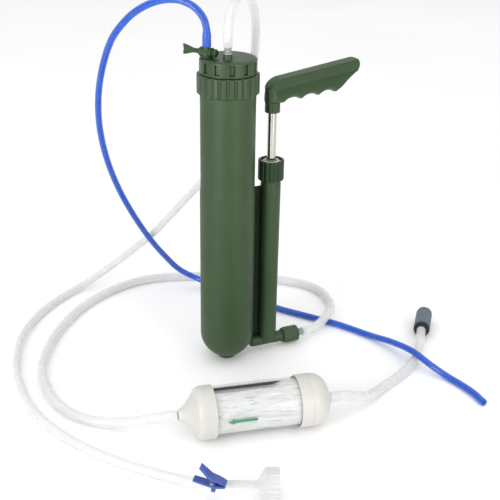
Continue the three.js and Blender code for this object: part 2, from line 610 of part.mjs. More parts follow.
function hose(route, diameter, steps, sides) {
  const path = new THREE.CatmullRomCurve3(route.map((p) => new THREE.Vector3(...p)), false, "centripetal");
  const section = new THREE.Shape();
  for (let i = 0; i < sides; i++) {
    const angle = (i / sides) * 2 * Math.PI;
    const point = [(diameter / 2) * Math.cos(angle), (diameter / 2) * Math.sin(angle)];
    if (i === 0) section.moveTo(...point);
    else section.lineTo(...point);
  }
  section.closePath();
  return new THREE.ExtrudeGeometry(section, { steps, extrudePath: path, bevelEnabled: false });
}

function buildHoses(group) {
  const hoses = [
    ["inlet_hose", HOSE.inlet, 30, materials.clearHose()],
    ["suction_hose", HOSE.suction, 8, materials.clearHose()],
    ["outlet_hose", HOSE.outlet, 44, materials.clearHose()],
    ["flush_hose", HOSE.flush, 46, materials.blueHose()],
  ];
  for (const [name, diameter, steps, material] of hoses) {
    add(group, name, hose(ROUTES[name], diameter, steps, 8), material);
  }
}

const filter = new THREE.Group();
buildVessel(filter);
buildElements(filter);
buildTap(filter);
buildPump(filter);
buildInlet(filter);
buildPrefilter(filter);
buildStrainer(filter);
buildAdapter(filter);
buildClip(filter);
buildHoses(filter);

export default filter;
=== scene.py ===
"""Looks for the pump water filter: fine shells over the CAD frame, hoses, materials, floor and light.

Shapes are drawn in millimetres in the part's own frame and turned into metres when a mesh is made.
"""

import math
from math import cos, pi, radians, sin

import bmesh
import bpy
import numpy as np
from mathutils import Matrix, Vector, noise


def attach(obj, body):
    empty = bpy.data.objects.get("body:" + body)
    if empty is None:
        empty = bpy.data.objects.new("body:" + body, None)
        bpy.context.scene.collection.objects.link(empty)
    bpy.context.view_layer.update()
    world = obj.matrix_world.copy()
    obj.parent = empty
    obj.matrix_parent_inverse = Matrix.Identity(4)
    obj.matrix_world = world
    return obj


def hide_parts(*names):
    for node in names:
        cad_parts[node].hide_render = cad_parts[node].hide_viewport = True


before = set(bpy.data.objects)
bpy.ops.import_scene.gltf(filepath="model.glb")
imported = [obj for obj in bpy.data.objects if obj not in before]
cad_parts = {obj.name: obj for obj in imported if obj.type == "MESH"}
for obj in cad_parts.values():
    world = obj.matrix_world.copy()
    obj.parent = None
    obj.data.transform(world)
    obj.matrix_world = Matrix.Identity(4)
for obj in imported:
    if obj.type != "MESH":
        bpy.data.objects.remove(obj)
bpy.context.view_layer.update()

MM = 0.001
TAU = 2 * pi


def in_scene(name, data):
    """A new object in the scene, made from its data."""
    made = bpy.data.objects.new(name, data)
    bpy.context.scene.collection.objects.link(made)
    return made


# ---- Places of the turned groups, as in the part's source: millimetres and degrees ----
def placed(x, y, z, turn=0.0, dip=0.0):
    return (
        Matrix.Translation((x, y, z))
        @ Matrix.Rotation(radians(turn), 4, "Z")
        @ Matrix.Rotation(radians(dip), 4, "Y")
    )


ALONG_X = Matrix.Rotation(radians(90), 4, "Y")
HERE = Matrix.Identity(4)
PUMP = placed(43, 0, 0)
HANDLE = placed(43, 0, 0, 13)
TAP = placed(-18.4, 3.6, 0, -54.5)
OUTLET = placed(-5, -11.5, 0)
INLET = placed(0, 0, 9.3) @ ALONG_X
PREFILTER_TURN = -9.4
PREFILTER = placed(-24.3, -125.7, 23, PREFILTER_TURN)
STRAINER = placed(198.2, -41, 8.4, 53) @ ALONG_X
ADAPTER = placed(-59.8, -212, 13.6, -23.5) @ ALONG_X
CLIP = placed(-92.7, -203.1, 20, -35.3, 8.5)


# ---- Camera: lens and sensor in millimetres, place in metres, angles in degrees ----
LENS = 68.4
SENSOR = 36
CAMERA_AT = (-0.3042, -0.7532, 0.480)
CAMERA_TURN = -23.5
CAMERA_TILT = 65.7
CAMERA_ROLL = 0.95

camera = in_scene("camera", bpy.data.cameras.new("camera"))
camera.data.lens = LENS
camera.data.sensor_width = SENSOR
camera.matrix_world = (
    Matrix.Translation(CAMERA_AT)
    @ Matrix.Rotation(radians(CAMERA_TURN), 4, "Z")
    @ Matrix.Rotation(radians(CAMERA_TILT), 4, "X")
    @ Matrix.Rotation(radians(CAMERA_ROLL), 4, "Z")
)
bpy.context.scene.camera = camera


# ---- Materials ----
LOOK = {}
# Pointiness is 0.5 on a flat face, less in a hollow and more on a ridge.
HOLLOW = (0.43, 0.495)
RIDGE = (0.51, 0.58)
RIM_WIDTH = 0.35
MOST_GLOSS = 0.22


def srgb(*levels):
    """A colour given in 0 to 255 display levels, as the linear colour a shader takes."""
    linear = []
    for level in levels:
        c = level / 255
        linear.append(c / 12.92 if c <= 0.04045 else ((c + 0.055) / 1.055) ** 2.4)
    return (*linear, 1.0)


class Finish:
    """A Principled material, kept in LOOK, and short calls that add procedural detail to it."""

    def __init__(self, name, **sockets):
        self.material = bpy.data.materials.new(name)
        LOOK[name] = self.material
        self.material.use_nodes = True
        self.tree = self.material.node_tree
        self.tree.nodes.clear()
        named = {socket.replace("_", " "): value for socket, value in sockets.items()}
        self.shader = self.node("BsdfPrincipled", named)
        self.output = self.node("OutputMaterial")
        self.link(self.shader.outputs[0], self.output.inputs[0])
        self.coords = self.node("TexCoord").outputs["Object"]

    def node(self, kind, inputs=None, **settings):
        made = self.tree.nodes.new("ShaderNode" + kind)
        for key, value in settings.items():
            setattr(made, key, value)
        for socket, value in (inputs or {}).items():
            made.inputs[socket].default_value = value
        return made

    def link(self, source, target):
        self.tree.links.new(source, target)

    def stretched(self, size, turn=0.0):
        """Coordinates in which a texture is size times as long along each of its own axes, turned about Z."""
        inputs = {"Scale": size, "Rotation": (0, 0, radians(turn))}
        mapping = self.node("Mapping", inputs, vector_type="TEXTURE")
        self.link(self.coords, mapping.inputs["Vector"])
        return mapping.outputs[0]

    def noise(self, scale, detail=3.0, rough=0.5, coords=None, distortion=0.0):
        inputs = {"Scale": scale, "Detail": detail, "Roughness": rough, "Distortion": distortion}
        made = self.node("TexNoise", inputs)
        self.link(coords or self.coords, made.inputs["Vector"])
        return made.outputs["Fac"]

    def cells(self, scale):
        """How far a place is from the middle of its cell."""
        made = self.node("TexVoronoi", {"Scale": scale})
        self.link(self.coords, made.inputs["Vector"])
        return made.outputs["Distance"]

    def ramp(self, value, *stops):
        """Each stop is (value, colour)."""
        made = self.node("ValToRGB")
        elements = made.color_ramp.elements
        while len(elements) < len(stops):
            elements.new(0.5)
        for element, (place, colour) in zip(elements, stops, strict=True):
            element.position = place
            element.color = colour
        self.link(value, made.inputs["Fac"])
        return made.outputs["Color"]

    def range(self, value, low, high, start=0.0, end=1.0):
        """Turns start to end into low to high."""
        inputs = {"From Min": start, "From Max": end, "To Min": low, "To Max": high}
        made = self.node("MapRange", inputs)
        self.link(value, made.inputs["Value"])
        return made.outputs[0]

    def mix(self, share, first, second):
        made = self.node("Mix", data_type="RGBA")
        for value, socket in ((share, made.inputs[0]), (first, made.inputs[6]), (second, made.inputs[7])):
            if isinstance(value, bpy.types.NodeSocket):
                self.link(value, socket)
            else:
                socket.default_value = value
        return made.outputs[2]

    def colour(self, value):
        self.link(value, self.shader.inputs["Base Color"])

    def roughness(self, value):
        self.link(value, self.shader.inputs["Roughness"])

    def bump(self, *heights):
        """Each height is (value, distance in metres, strength)."""
        before = None
        for value, distance, strength in heights:
            made = self.node("Bump", {"Distance": distance, "Strength": strength})
            self.link(value, made.inputs["Height"])
            if before:
                self.link(before, made.inputs["Normal"])
            before = made.outputs[0]
        self.link(before, self.shader.inputs["Normal"])

    def see_through(self, facing, edge, glossy=None):
        """Lets what is behind show. facing and edge are how opaque the wall is square on and at its edges.
        glossy is the roughness of a clear gloss over it."""
        weight = self.node("LayerWeight", {"Blend": RIM_WIDTH})
        wall = self.node("MixShader")
        self.link(self.range(weight.outputs["Facing"], facing, edge), wall.inputs[0])
        self.link(self.node("BsdfTransparent").outputs[0], wall.inputs[1])
        self.link(self.shader.outputs[0], wall.inputs[2])
        last = wall
        if glossy is not None:
            shine = self.node("BsdfGlossy", {"Roughness": glossy})
            last = self.node("MixShader")
            self.link(self.range(weight.outputs["Fresnel"], 0.0, MOST_GLOSS), last.inputs[0])
            self.link(wall.outputs[0], last.inputs[1])
            self.link(shine.outputs[0], last.inputs[2])
        self.link(last.outputs[0], self.output.inputs[0])

    def shade_hollows(self, colour, dark, amount):
        """Mixes in a darker colour in sharp inner corners: painted shade."""
        pointed = self.node("NewGeometry").outputs["Pointiness"]
        return self.mix(self.range(pointed, amount, 0.0, *HOLLOW), colour, dark)

    def wear_and_highlight_edges(self, colour, edge, amount):
        """Mixes in a lighter colour along sharp outer edges: rubbed wear and painted highlight."""
        pointed = self.node("NewGeometry").outputs["Pointiness"]
        return self.mix(self.range(pointed, 0.0, amount, *RIDGE), colour, edge)


def shade(colour, times, more=0.0):
    """The same colour, darker or lighter."""
    return (*(min(1.0, c * times + more) for c in colour[:3]), 1)


def moulded(name, colour, rough, spread, grain, edge_wear_and_glint, corners=0.0, **sockets):
    """Injection-moulded plastic with a fine skin and duller patches. spread is how uneven its tone is, grain
    how rough its skin is, the next how far its sharp outer edges are lightened, as rubbed wear and painted
    highlight, and corners how far painted shade darkens its inner corners."""
    f = Finish(name, **sockets)
    tone = f.ramp(f.noise(22, 4, 0.6), (0.3, shade(colour, 1 - spread)), (0.7, shade(colour, 1 + spread)))
    # Painted shade: sharp inner corners darkened towards a third of the colour.
    tone = f.shade_hollows(tone, shade(colour, 0.3), corners)
    # Sharp outer edges lightened: rubbed wear and painted highlight.
    f.colour(f.wear_and_highlight_edges(tone, shade(colour, 1.7, 0.02), edge_wear_and_glint))
    f.roughness(f.range(f.noise(55, 5, 0.65), rough - 0.06, rough + 0.1, 0.25, 0.75))
    f.bump((f.noise(2600, 2), 2.5e-5, grain), (f.noise(160, 3), 6e-5, grain * 0.5))


def clear_plastic(name, tint, rough, facing, edge, streaks, glossy=None):
    """Clear or milky plastic whose wall holds faint streaks along its making."""
    f = Finish(name, Coat_Weight=0.2, Coat_Roughness=0.15)
    streak = f.noise(90, 4, 0.6, f.stretched((1, 1, 4)))
    f.colour(f.ramp(streak, (0.35, shade(tint, 1 - streaks)), (0.65, tint)))
    f.roughness(f.range(f.noise(40, 3), rough * 0.8, rough * 1.25, 0.3, 0.7))
    f.bump((f.noise(420, 2), 3e-5, 0.25))
    f.see_through(facing, edge, glossy)


def drawn_metal(name, colour, rough, lines):
    """Metal with fine scratches along it."""
    f = Finish(name, Metallic=1.0)
    scratch = f.noise(lines, 3, 0.7, f.stretched((1, 1, 50)))
    f.colour(f.ramp(scratch, (0.35, shade(colour, 0.86)), (0.65, colour)))
    f.roughness(f.range(scratch, rough * 0.8, rough * 1.4, 0.3, 0.7))
    f.bump((scratch, 5e-6, 0.1))


def open_foam(name, colour):
    """Reticulated sponge: pores painted dark as their shade, light struts, and darker patches here and there.
    """
    f = Finish(name, Roughness=0.95, Sheen_Weight=0.15)
    pores = f.cells(900)
    # Painted shade: the pores are darkened, and the same dark colour is mixed in at random patches.
    dark = shade(colour, 0.45)
    tone = f.ramp(pores, (0.08, dark), (0.3, colour), (0.6, shade(colour, 1.35)))
    f.colour(f.mix(f.range(f.noise(140, 3), 0.0, 0.35), tone, dark))
    f.bump((pores, 5e-4, 0.9), (f.noise(600, 3), 2e-4, 0.5))


def crinkled_fibre(name):
    """White felted fibre behind the clear wall, creased along the cartridge. Its colour is painted darker in
    the creases and lighter on the crests, as shade and light.
    """
    f = Finish(name, Roughness=0.55, Coat_Weight=0.35, Coat_Roughness=0.18)
    crease = f.noise(420, 5, 0.6, f.stretched((9, 1, 1), PREFILTER_TURN), 1.6)
    # Painted shade in the creases and painted light on the crests, from the same noise as the bump.
    crease_shade, middle, high = srgb(170, 174, 173), srgb(216, 218, 216), srgb(232, 233, 231)
    f.colour(f.ramp(crease, (0.34, crease_shade), (0.45, middle), (0.7, high)))
    f.bump((crease, 1.3e-3, 0.8), (f.noise(1200, 3), 1e-4, 0.4))


def granular(name, colour):
    """Pressed grains, as in a carbon block."""
    f = Finish(name, Roughness=0.85)
    grains = f.cells(1500)
    f.colour(f.ramp(grains, (0.1, shade(colour, 0.5)), (0.6, colour)))
    f.bump((grains, 2e-4, 0.7))


def hose_wall(name, colour, rough, facing, edge):
    """Extruded soft hose: faint streaks in a see-through wall, a glossy skin."""
    f = Finish(name, Coat_Weight=0.3, Coat_Roughness=0.12)
    f.colour(f.ramp(f.noise(70, 4, 0.6), (0.3, shade(colour, 0.94)), (0.7, colour)))
    f.roughness(f.range(f.noise(120, 3), rough * 0.75, rough * 1.3, 0.3, 0.7))
    f.bump((f.noise(60, 2), 4e-5, 0.04))
    f.see_through(facing, edge)


GREEN = srgb(37, 63, 26)
GRIP_GREEN = srgb(32, 61, 23)
NUT_GREEN = srgb(24, 52, 18)
# The web's green is painted shade: near black, for the shade in the deep groove between vessel and barrel.
WEB_SHADE_GREEN = srgb(16, 27, 12)
BLUE = srgb(40, 68, 142)
CHROME = srgb(196, 194, 188)
STEEL = srgb(150, 151, 152)
CLEAR = srgb(252, 253, 253)

moulded("green_shell", GREEN, 0.46, 0.07, 0.3, 0.3, 0.8, Specular_IOR_Level=0.5)
moulded("green_cap", GREEN, 0.38, 0.07, 0.3, 0.4, 0.9, Coat_Weight=0.08, Coat_Roughness=0.15)
moulded("web_painted_shade", WEB_SHADE_GREEN, 0.6, 0.07, 0.3, 0.2, Specular_IOR_Level=0.2)
moulded("green_grip", GRIP_GREEN, 0.42, 0.08, 0.3, 0.45, 0.7, Coat_Weight=0.06, Coat_Roughness=0.3)
moulded("green_nut", NUT_GREEN, 0.32, 0.08, 0.3, 0.7, 0.7, Specular_IOR_Level=0.3)
moulded("white_plastic", srgb(226, 225, 218), 0.4, 0.03, 0.2, 0.2)
moulded(
    "warm_white", srgb(200, 198, 193), 0.38, 0.03, 0.2, 0.15, Coat_Weight=0.15, Coat_Roughness=0.3,
    Subsurface_Weight=0.25, Subsurface_Radius=(0.004, 0.0038, 0.003), Subsurface_Scale=1.0,
)
clear_plastic("milky_white", srgb(222, 222, 221), 0.34, facing=0.5, edge=0.85, streaks=0.06)
moulded("grey_barb", srgb(146, 152, 152), 0.34, 0.06, 0.25, 0.4)
drawn_metal("chrome_rod", CHROME, 0.1, 700)
drawn_metal("steel", STEEL, 0.28, 900)
moulded("black_rubber", srgb(26, 26, 27), 0.6, 0.15, 0.4, 0.3)
clear_plastic("clear_plastic", CLEAR, 0.12, facing=0.03, edge=0.22, streaks=0.02, glossy=0.05)
crinkled_fibre("white_fibre")
granular("carbon", srgb(38, 39, 41))
open_foam("grey_sponge", srgb(88, 99, 108))
moulded("blue_plastic", BLUE, 0.28, 0.08, 0.25, 0.5, Coat_Weight=0.3)
hose_wall("clear_hose", srgb(238, 238, 239), 0.24, facing=0.38, edge=0.74)
hose_wall("blue_hose", srgb(30, 92, 208), 0.18, facing=0.64, edge=0.97)
moulded("black_ink", srgb(52, 53, 55), 0.42, 0.15, 0.2, 0.0)
moulded("green_ink", srgb(70, 140, 104), 0.42, 0.12, 0.2, 0.0)
moulded("grey_ink", srgb(178, 184, 182), 0.42, 0.1, 0.2, 0.0)


# ---- Mesh building: angles in degrees ----
CREASE = 34  # an edge sharper than this is shaded sharp
BEVEL_FROM = 38
BEVEL_STEPS = 3


def skin(loops, ring=False):
    """Vertices and faces of the surface through loops of equal length. A loop of one point is a pole, and
    an open end is closed with a fan. ring joins the last loop to the first."""
    if not ring:
        for end in (0, -1):
            if len(loops[end]) > 1:
                middle = tuple(np.mean(np.array(loops[end], float), axis=0))
                loops = [[middle], *loops] if end == 0 else [*loops, [middle]]
    verts, faces, starts = [], [], []
    for loop in loops:
        starts.append(len(verts))
        verts.extend(loop)
    count = len(loops)
    for a in range(count if ring else count - 1):
        b = (a + 1) % count
        many = max(len(loops[a]), len(loops[b]))
        for i in range(many):
            j = (i + 1) % many
            if len(loops[a]) == 1:
                faces.append((starts[a], starts[b] + j, starts[b] + i))
            elif len(loops[b]) == 1:
                faces.append((starts[a] + i, starts[a] + j, starts[b]))
            else:
                faces.append((starts[a] + i, starts[a] + j, starts[b] + j, starts[b] + i))
    return verts, faces


def rounded(corners, closed=False, steps=4):
    """A line of points through corners, each (a, b) or (a, b, how far back its rounding starts)."""
    made, count = [], len(corners)
    for i, corner in enumerate(corners):
        p = Vector(corner[:2])
        back = corner[2] if len(corner) > 2 else 0
        if not back or (not closed and i in (0, count - 1)):
            made.append(tuple(p))
            continue
        u = Vector(corners[i - 1][:2]) - p
        v = Vector(corners[(i + 1) % count][:2]) - p
        back = min(back, u.length * 0.49, v.length * 0.49)
        start, end = p + u.normalized() * back, p + v.normalized() * back
        for k in range(steps + 1):
            t = k / steps
            made.append(tuple((1 - t) ** 2 * start + 2 * t * (1 - t) * p + t * t * end))
    return made


def dense(line, step):
    """The same line with no stretch longer than step."""
    made = [line[0]]
    for a, b in zip(line, line[1:]):
        parts = max(1, math.ceil(math.dist(a, b) / step))
        made += [tuple(a[k] + (b[k] - a[k]) * i / parts for k in range(2)) for i in range(1, parts + 1)]
    return made


def arc(radius, r0, z0, start, end, steps):
    angles = [radians(start + (end - start) * i / steps) for i in range(steps + 1)]
    return [(r0 + radius * cos(a), z0 + radius * sin(a)) for a in angles]


def lathe(profile, angles, relief=None, ring=False):
    """A surface turned about Z from (radius, height) points, with so many sides or at the angles given.
    relief(angle, radius, height) is added to the radius. ring joins the last point to the first."""
    if isinstance(angles, int):
        angles = [TAU * i / angles for i in range(angles)]
    loops = []
    for r, z in profile:
        if r < 1e-6:
            loops.append([(0, 0, z)])
            continue
        loop = []
        for a in angles:
            reach = r + (relief(a, r, z) if relief else 0)
            loop.append((reach * cos(a), reach * sin(a), z))
        loops.append(loop)
    return skin(loops, ring)


def step_up(value, start, end):
    """0 before start, 1 after end, and smooth between."""
    t = min(1.0, max(0.0, (value - start) / (end - start)))
    return t * t * (3 - 2 * t)


def ribs(count, share, slope, height, low, high, ends, first=0.0):
    """Relief of upright ribs between two heights, and the angles that catch their edges.
    share is the part of the pitch that a rib takes, slope the part that each of its sides takes."""
    pitch = TAU / count
    half, side = share / 2, slope / 2

    def relief(angle, _, z):
        from_centre = abs((angle - first + pitch / 2) % pitch - pitch / 2) / pitch
        across = 1 - step_up(from_centre, half - side, half + side)
        return height * across * step_up(z, low, low + ends) * (1 - step_up(z, high - ends, high))

    cuts = [0, half / 2, half - side, half - side / 3, half + side / 3, half + side, 0.5]
    fractions = sorted({-c for c in cuts[1:-1]} | set(cuts))
    return relief, [first + (i + f) * pitch for i in range(count) for f in fractions]


def turned_ring(corners, sides):
    return lathe(rounded(corners, closed=True), sides, ring=True)


def ribbed_ring(corners, step, inner, outer, relief, angles, steps=4):
    """A ring with relief on its outer face, which starts at one radius and is full at another."""
    outline = rounded(corners, closed=True, steps=steps)
    outline = dense([*outline, outline[0]], step)[:-1]
    return lathe(outline, angles, lambda a, r, z: relief(a, r, z) * step_up(r, inner, outer), ring=True)


def prism(outline, width):
    """A flat shape in (x, z) with a thickness across y."""
    count = len(outline)
    verts = [(x, -width / 2, z) for x, z in outline] + [(x, width / 2, z) for x, z in outline]
    faces = [tuple(range(count)), tuple(reversed(range(count, 2 * count)))]
    faces += [(i, i + count, (i + 1) % count + count, (i + 1) % count) for i in range(count)]
    return verts, faces


def solid(name, shape, place, crease=CREASE):
    """An object made from (vertices, faces) in millimetres, put in its place."""
    verts, faces = shape
    data = bpy.data.meshes.new(name)
    data.from_pydata([(place @ Vector(v)) * MM for v in verts], [], faces)
    bm = bmesh.new()
    bm.from_mesh(data)
    bmesh.ops.remove_doubles(bm, verts=bm.verts, dist=1e-7)
    bmesh.ops.recalc_face_normals(bm, faces=bm.faces)
    bm.to_mesh(data)
    bm.free()
    data.shade_smooth()
    data.set_sharp_from_angle(angle=radians(crease))
    return in_scene(name, data)


def bored(made, shape, place):
    """Cuts a shape out of a piece."""
    cutter = solid("cutter", shape, place)
    bore = made.modifiers.new("bore", "BOOLEAN")
    bore.operation = "DIFFERENCE"
    bore.solver = "EXACT"
    bore.object = cutter
    ready = made.evaluated_get(bpy.context.evaluated_depsgraph_get())
    made.data = bpy.data.meshes.new_from_object(ready)
    made.data.set_sharp_from_angle(angle=radians(CREASE))
    made.modifiers.clear()
    bpy.data.objects.remove(cutter)


def piece(name, shape, look, place=HERE, body="root", replaces=(), crease=CREASE, bevel=None):
    """One piece of the visual model, put onto its body. It takes the slot of its look's name."""
    made = solid(name, shape, place, crease)
    made.data.materials.append(LOOK[look])
    if bevel:
        modifier = made.modifiers.new("edges", "BEVEL")
        modifier.width = bevel * MM
        modifier.segments = BEVEL_STEPS
        modifier.limit_method = "ANGLE"
        modifier.angle_limit = radians(BEVEL_FROM)
        modifier.harden_normals = True
    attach(made, body)
    if replaces:
        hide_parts(*replaces)
    return made


# ---- Hoses: the camera and the cords come first ----
ROUTE_STEP = 1.5
CURVE_STEPS = 24
HOSE_SIDES = 32
STATION_GAP = 2
PATH_GAP = 4
LIP = 0.35  # how rounded a hose's cut end is outside, and inside
INNER_LIP = 0.1
FLARE = 7.0  # how far past a fitting its swelling reaches


class Route:
    """A smooth centreline through points in millimetres, read by how far along it a place is."""

    def __init__(self, points):
        raw = self.smooth([Vector(p) for p in points])
        gaps = np.linalg.norm(np.diff(raw, axis=0), axis=1)
        far = np.concatenate([[0], np.cumsum(gaps)])
        self.length = float(far[-1])
        count = max(2, round(self.length / ROUTE_STEP))
        self.far = np.linspace(0, self.length, count + 1)
        self.line = np.stack([np.interp(self.far, far, raw[:, k]) for k in range(3)], axis=1)
        tangents = np.gradient(self.line, axis=0)
        self.tangents = tangents / np.linalg.norm(tangents, axis=1)[:, None]
        side = Vector(self.tangents[0]).orthogonal().normalized()
        sides = []
        for tangent in self.tangents:
            t = Vector(tangent)
            side = (side - t * side.dot(t)).normalized()
            sides.append(tuple(side))
        self.sides = np.array(sides)

    @staticmethod
    def smooth(points):
        """Centripetal Catmull-Rom through the points, as in the part's source."""
        ends = [points[0] * 2 - points[1], *points, points[-1] * 2 - points[-2]]
        made = []
        for p0, p1, p2, p3 in zip(ends, ends[1:], ends[2:], ends[3:]):
            d0, d1, d2 = (max(1e-4, (b - a).length ** 0.5) for a, b in ((p0, p1), (p1, p2), (p2, p3)))
            m1 = ((p1 - p0) / d0 - (p2 - p0) / (d0 + d1) + (p2 - p1) / d1) * d1
            m2 = ((p2 - p1) / d1 - (p3 - p1) / (d1 + d2) + (p3 - p2) / d2) * d1
            for i in range(CURVE_STEPS):
                t = i / CURVE_STEPS
                made.append(
                    p1 * (2 * t**3 - 3 * t**2 + 1) + m1 * (t**3 - 2 * t**2 + t)
                    + p2 * (3 * t**2 - 2 * t**3) + m2 * (t**3 - t**2)
                )
        made.append(points[-1])
        return np.array([tuple(p) for p in made])

    def at(self, far):
        """Centre, side and upward unit vectors at a distance along, carried straight on past either end."""
        inside = min(self.length, max(0.0, far))
        centre, tangent, side = (
            Vector([float(np.interp(inside, self.far, rows[:, k])) for k in range(3)])
            for rows in (self.line, self.tangents, self.sides)
        )
        tangent.normalize()
        side = (side - tangent * side.dot(tangent)).normalized()
        return centre + tangent * (far - inside), side, tangent.cross(side)

    def tube(self, profile, sides):
        """The surface of (distance along, radius) points round the centreline."""
        loops = []
        for far, radius in profile:
            centre, side, up = self.at(far)
            loops.append([
                tuple(centre + (side * cos(a) + up * sin(a)) * radius)
                for a in (TAU * i / sides for i in range(sides))
            ])
        return skin(loops, ring=True)


ROUTES = {
    "inlet_hose": [
        (86.4, 0, 9.3), (94, 0.6, 9.7), (107, 6.5, 11.6), (121, 18.5, 12.5), (134, 36, 8.6), (142.5, 57, 4.8),
        (145, 78, 4.8), (140, 96, 4.8), (130, 110, 4.8), (112, 126, 4.8), (85, 143, 4.8), (52, 159, 4.8),
        (18, 172, 4.8), (-9, 179, 4.8), (-36, 179, 4.8), (-66, 169, 4.8), (-98, 150, 4.8),
        (-125, 124, 4.8), (-148, 93, 4.8), (-165, 60, 4.8), (-175, 30, 4.8), (-178, 2, 4.8),
        (-176, -26, 4.8), (-170, -46, 4.8), (-161, -61, 4.8), (-149, -72.5, 5), (-136, -83, 7.5),
        (-123, -94, 12), (-111, -104, 18), (-100.5, -111, 22), (-90.8, -114.6, 23),
    ],
    "suction_hose": [
        (41.8, -136.7, 23), (47, -137.5, 22.9), (52, -138.1, 22.5), (58.5, -138.3, 21.2), (65, -138, 19.3),
        (72, -136.3, 16.3), (79, -133.5, 13), (86, -129.9, 10.1), (93, -126, 7.8), (108, -116.5, 5),
        (124, -109, 4.8), (140, -100.5, 4.8), (155, -91, 4.8), (168, -79.5, 5.2), (180, -66, 6.8),
        (187.6, -55.7, 7.8), (194.2, -46.3, 8.4),
    ],
    "outlet_hose": [
        (-5, -11.5, 310.4), (-5, -11.4, 318), (-4, -10.5, 328), (0, -6.8, 337.5), (8, 0.4, 344.5),
        (18, 9.4, 346), (27.5, 18.5, 341), (35.5, 28, 329), (42, 38, 309), (46.5, 52, 276),
        (47, 68, 238), (41.5, 83, 201), (30.5, 98, 167), (14, 117, 134), (-2, 134, 107),
        (-19, 156, 75), (-34, 171, 54), (-58, 188, 28), (-86, 193, 9), (-113, 180, 4.5),
        (-143, 155, 4.5), (-168, 124, 4.5), (-183, 95, 4.5), (-192, 65, 4.5), (-197.5, 39, 4.5),
        (-199.5, 13, 4.5), (-199, -13, 4.5), (-196, -36, 4.5), (-190, -59, 4.5), (-181, -81, 4.5),
        (-169, -103, 4.5), (-156, -122, 4.5), (-142, -140, 4.5), (-127, -156, 4.5),
        (-113, -171, 5.2), (-102, -184, 8), (-92.5, -196.5, 12.5), (-84.1, -201.4, 13.6),
    ],
    "flush_hose": [
        (-18.4, 3.6, 312.6), (-18.5, 3.7, 319), (-20.5, 5.5, 328), (-26.5, 10.5, 336.5),
        (-36, 19, 341.5), (-47, 29, 341), (-58, 39.5, 336), (-68, 51.5, 327), (-76, 64, 314.5),
        (-82, 76, 300), (-87, 91, 274), (-89, 104, 245), (-87, 116, 214), (-81, 127, 184),
        (-72, 137, 155), (-60, 144, 125), (-45, 149, 95), (-28, 153, 66), (-11, 156.5, 42),
        (5, 157, 23), (19, 152.5, 13.6), (38, 134, 7.5), (59, 105, 3.6), (84, 65.5, 3.5),
        (105, 38.5, 3.5), (128, 9, 3.5), (147, -24.5, 4), (157, -54, 9), (161.5, -84, 13.4),
        (168, -104, 9), (176, -120, 4), (180.5, -137, 3.5), (183, -154, 3.5), (182.5, -171, 3.5),
    ],
}


def hose(name, diameter, wall, look, sleeve=0.0, bulge=0.0, far_over=0.0):
    """A hollow hose along its route, with its length and path in metres. sleeve is how far it reaches back
    over the fitting it leaves, bulge how much that swells it, and far_over its reach at the far end."""
    route = Route(ROUTES[name])
    outer, inner = diameter / 2, diameter / 2 - wall

    def swell(far):
        return bulge * (1 - step_up(far, 0.0, FLARE))

    start, end = -sleeve, route.length + far_over
    stations = list(np.linspace(start + LIP, end - LIP, round((end - start) / STATION_GAP)))
    profile = [(start, inner + swell(start) + INNER_LIP), (start, outer + swell(start) - LIP)]
    profile += [(s, outer + swell(s)) for s in stations]
    profile += [(end, outer - LIP), (end, inner + INNER_LIP)]
    profile += [(s, inner + swell(s)) for s in reversed(stations)]
    made = piece(name + "_tube", route.tube(profile, HOSE_SIDES), look, replaces=[name])
    places = np.linspace(start, end, round((end - start) / PATH_GAP))
    return made, route.length * MM, [tuple(route.at(s)[0] * MM) for s in places]


inlet_hose, inlet_length, inlet_path = hose(
    "inlet_hose", 9, 1.6, "clear_hose", sleeve=4.5, bulge=0.15, far_over=0.2
)
suction_hose, suction_length, suction_path = hose("suction_hose", 9, 1.6, "clear_hose", far_over=5.6)
outlet_hose, outlet_length, outlet_path = hose("outlet_hose", 8, 1.4, "clear_hose", sleeve=4.5, far_over=0.2)
flush_hose, flush_length, flush_path = hose("flush_hose", 6.35, 1.2, "blue_hose", sleeve=8.4, bulge=0.75)


# ---- Filter vessel: radii and heights ----
LOWER_R = 25.3
UPPER_R = 24.7
BORE_R = 22.2
DOME_Z = 27.5
CAP_TURN = radians(-103.9)
CAP_PADS = 12


def vessel():
    outside = [(0, 0), *rounded([(7.4, 0), (8.2, 0.5, 0.4), (8.2, 2.4, 0.7), (7.3, 3.1, 0.3), (7.9, 3.6)])]
    outside += arc(LOWER_R, 0, DOME_Z, -71, 0, 28)
    outside += [(LOWER_R, z) for z in range(40, 169, 12)]
    step = LOWER_R - UPPER_R
    outside += [(LOWER_R - step * step_up(z, 170, 178), z) for z in np.linspace(169, 180, 14)]
    outside += [(UPPER_R, z) for z in range(192, 262, 12)]
    neck = [(24.8, 263.4), (22.6, 263.5), (22.6, 289.9), (20.4, 289.9)]
    inside = [(20.4, 259), (BORE_R, 257), (BORE_R, DOME_Z), *arc(BORE_R, 0, DOME_Z, -8, -82, 12), (0, 5.3)]
    return lathe([*outside, *neck, *inside], 128)


def collar():
    corners = [(23, 264, 0.2), (26.1, 263.9, 0.9), (26.1, 281.4, 1.0), (23, 281.4, 0.2)]
    return ribbed_ring(corners, 0.9, 25.0, 25.9, *ribs(24, 0.62, 0.16, 1.45, 262.6, 283.0, 2.6))


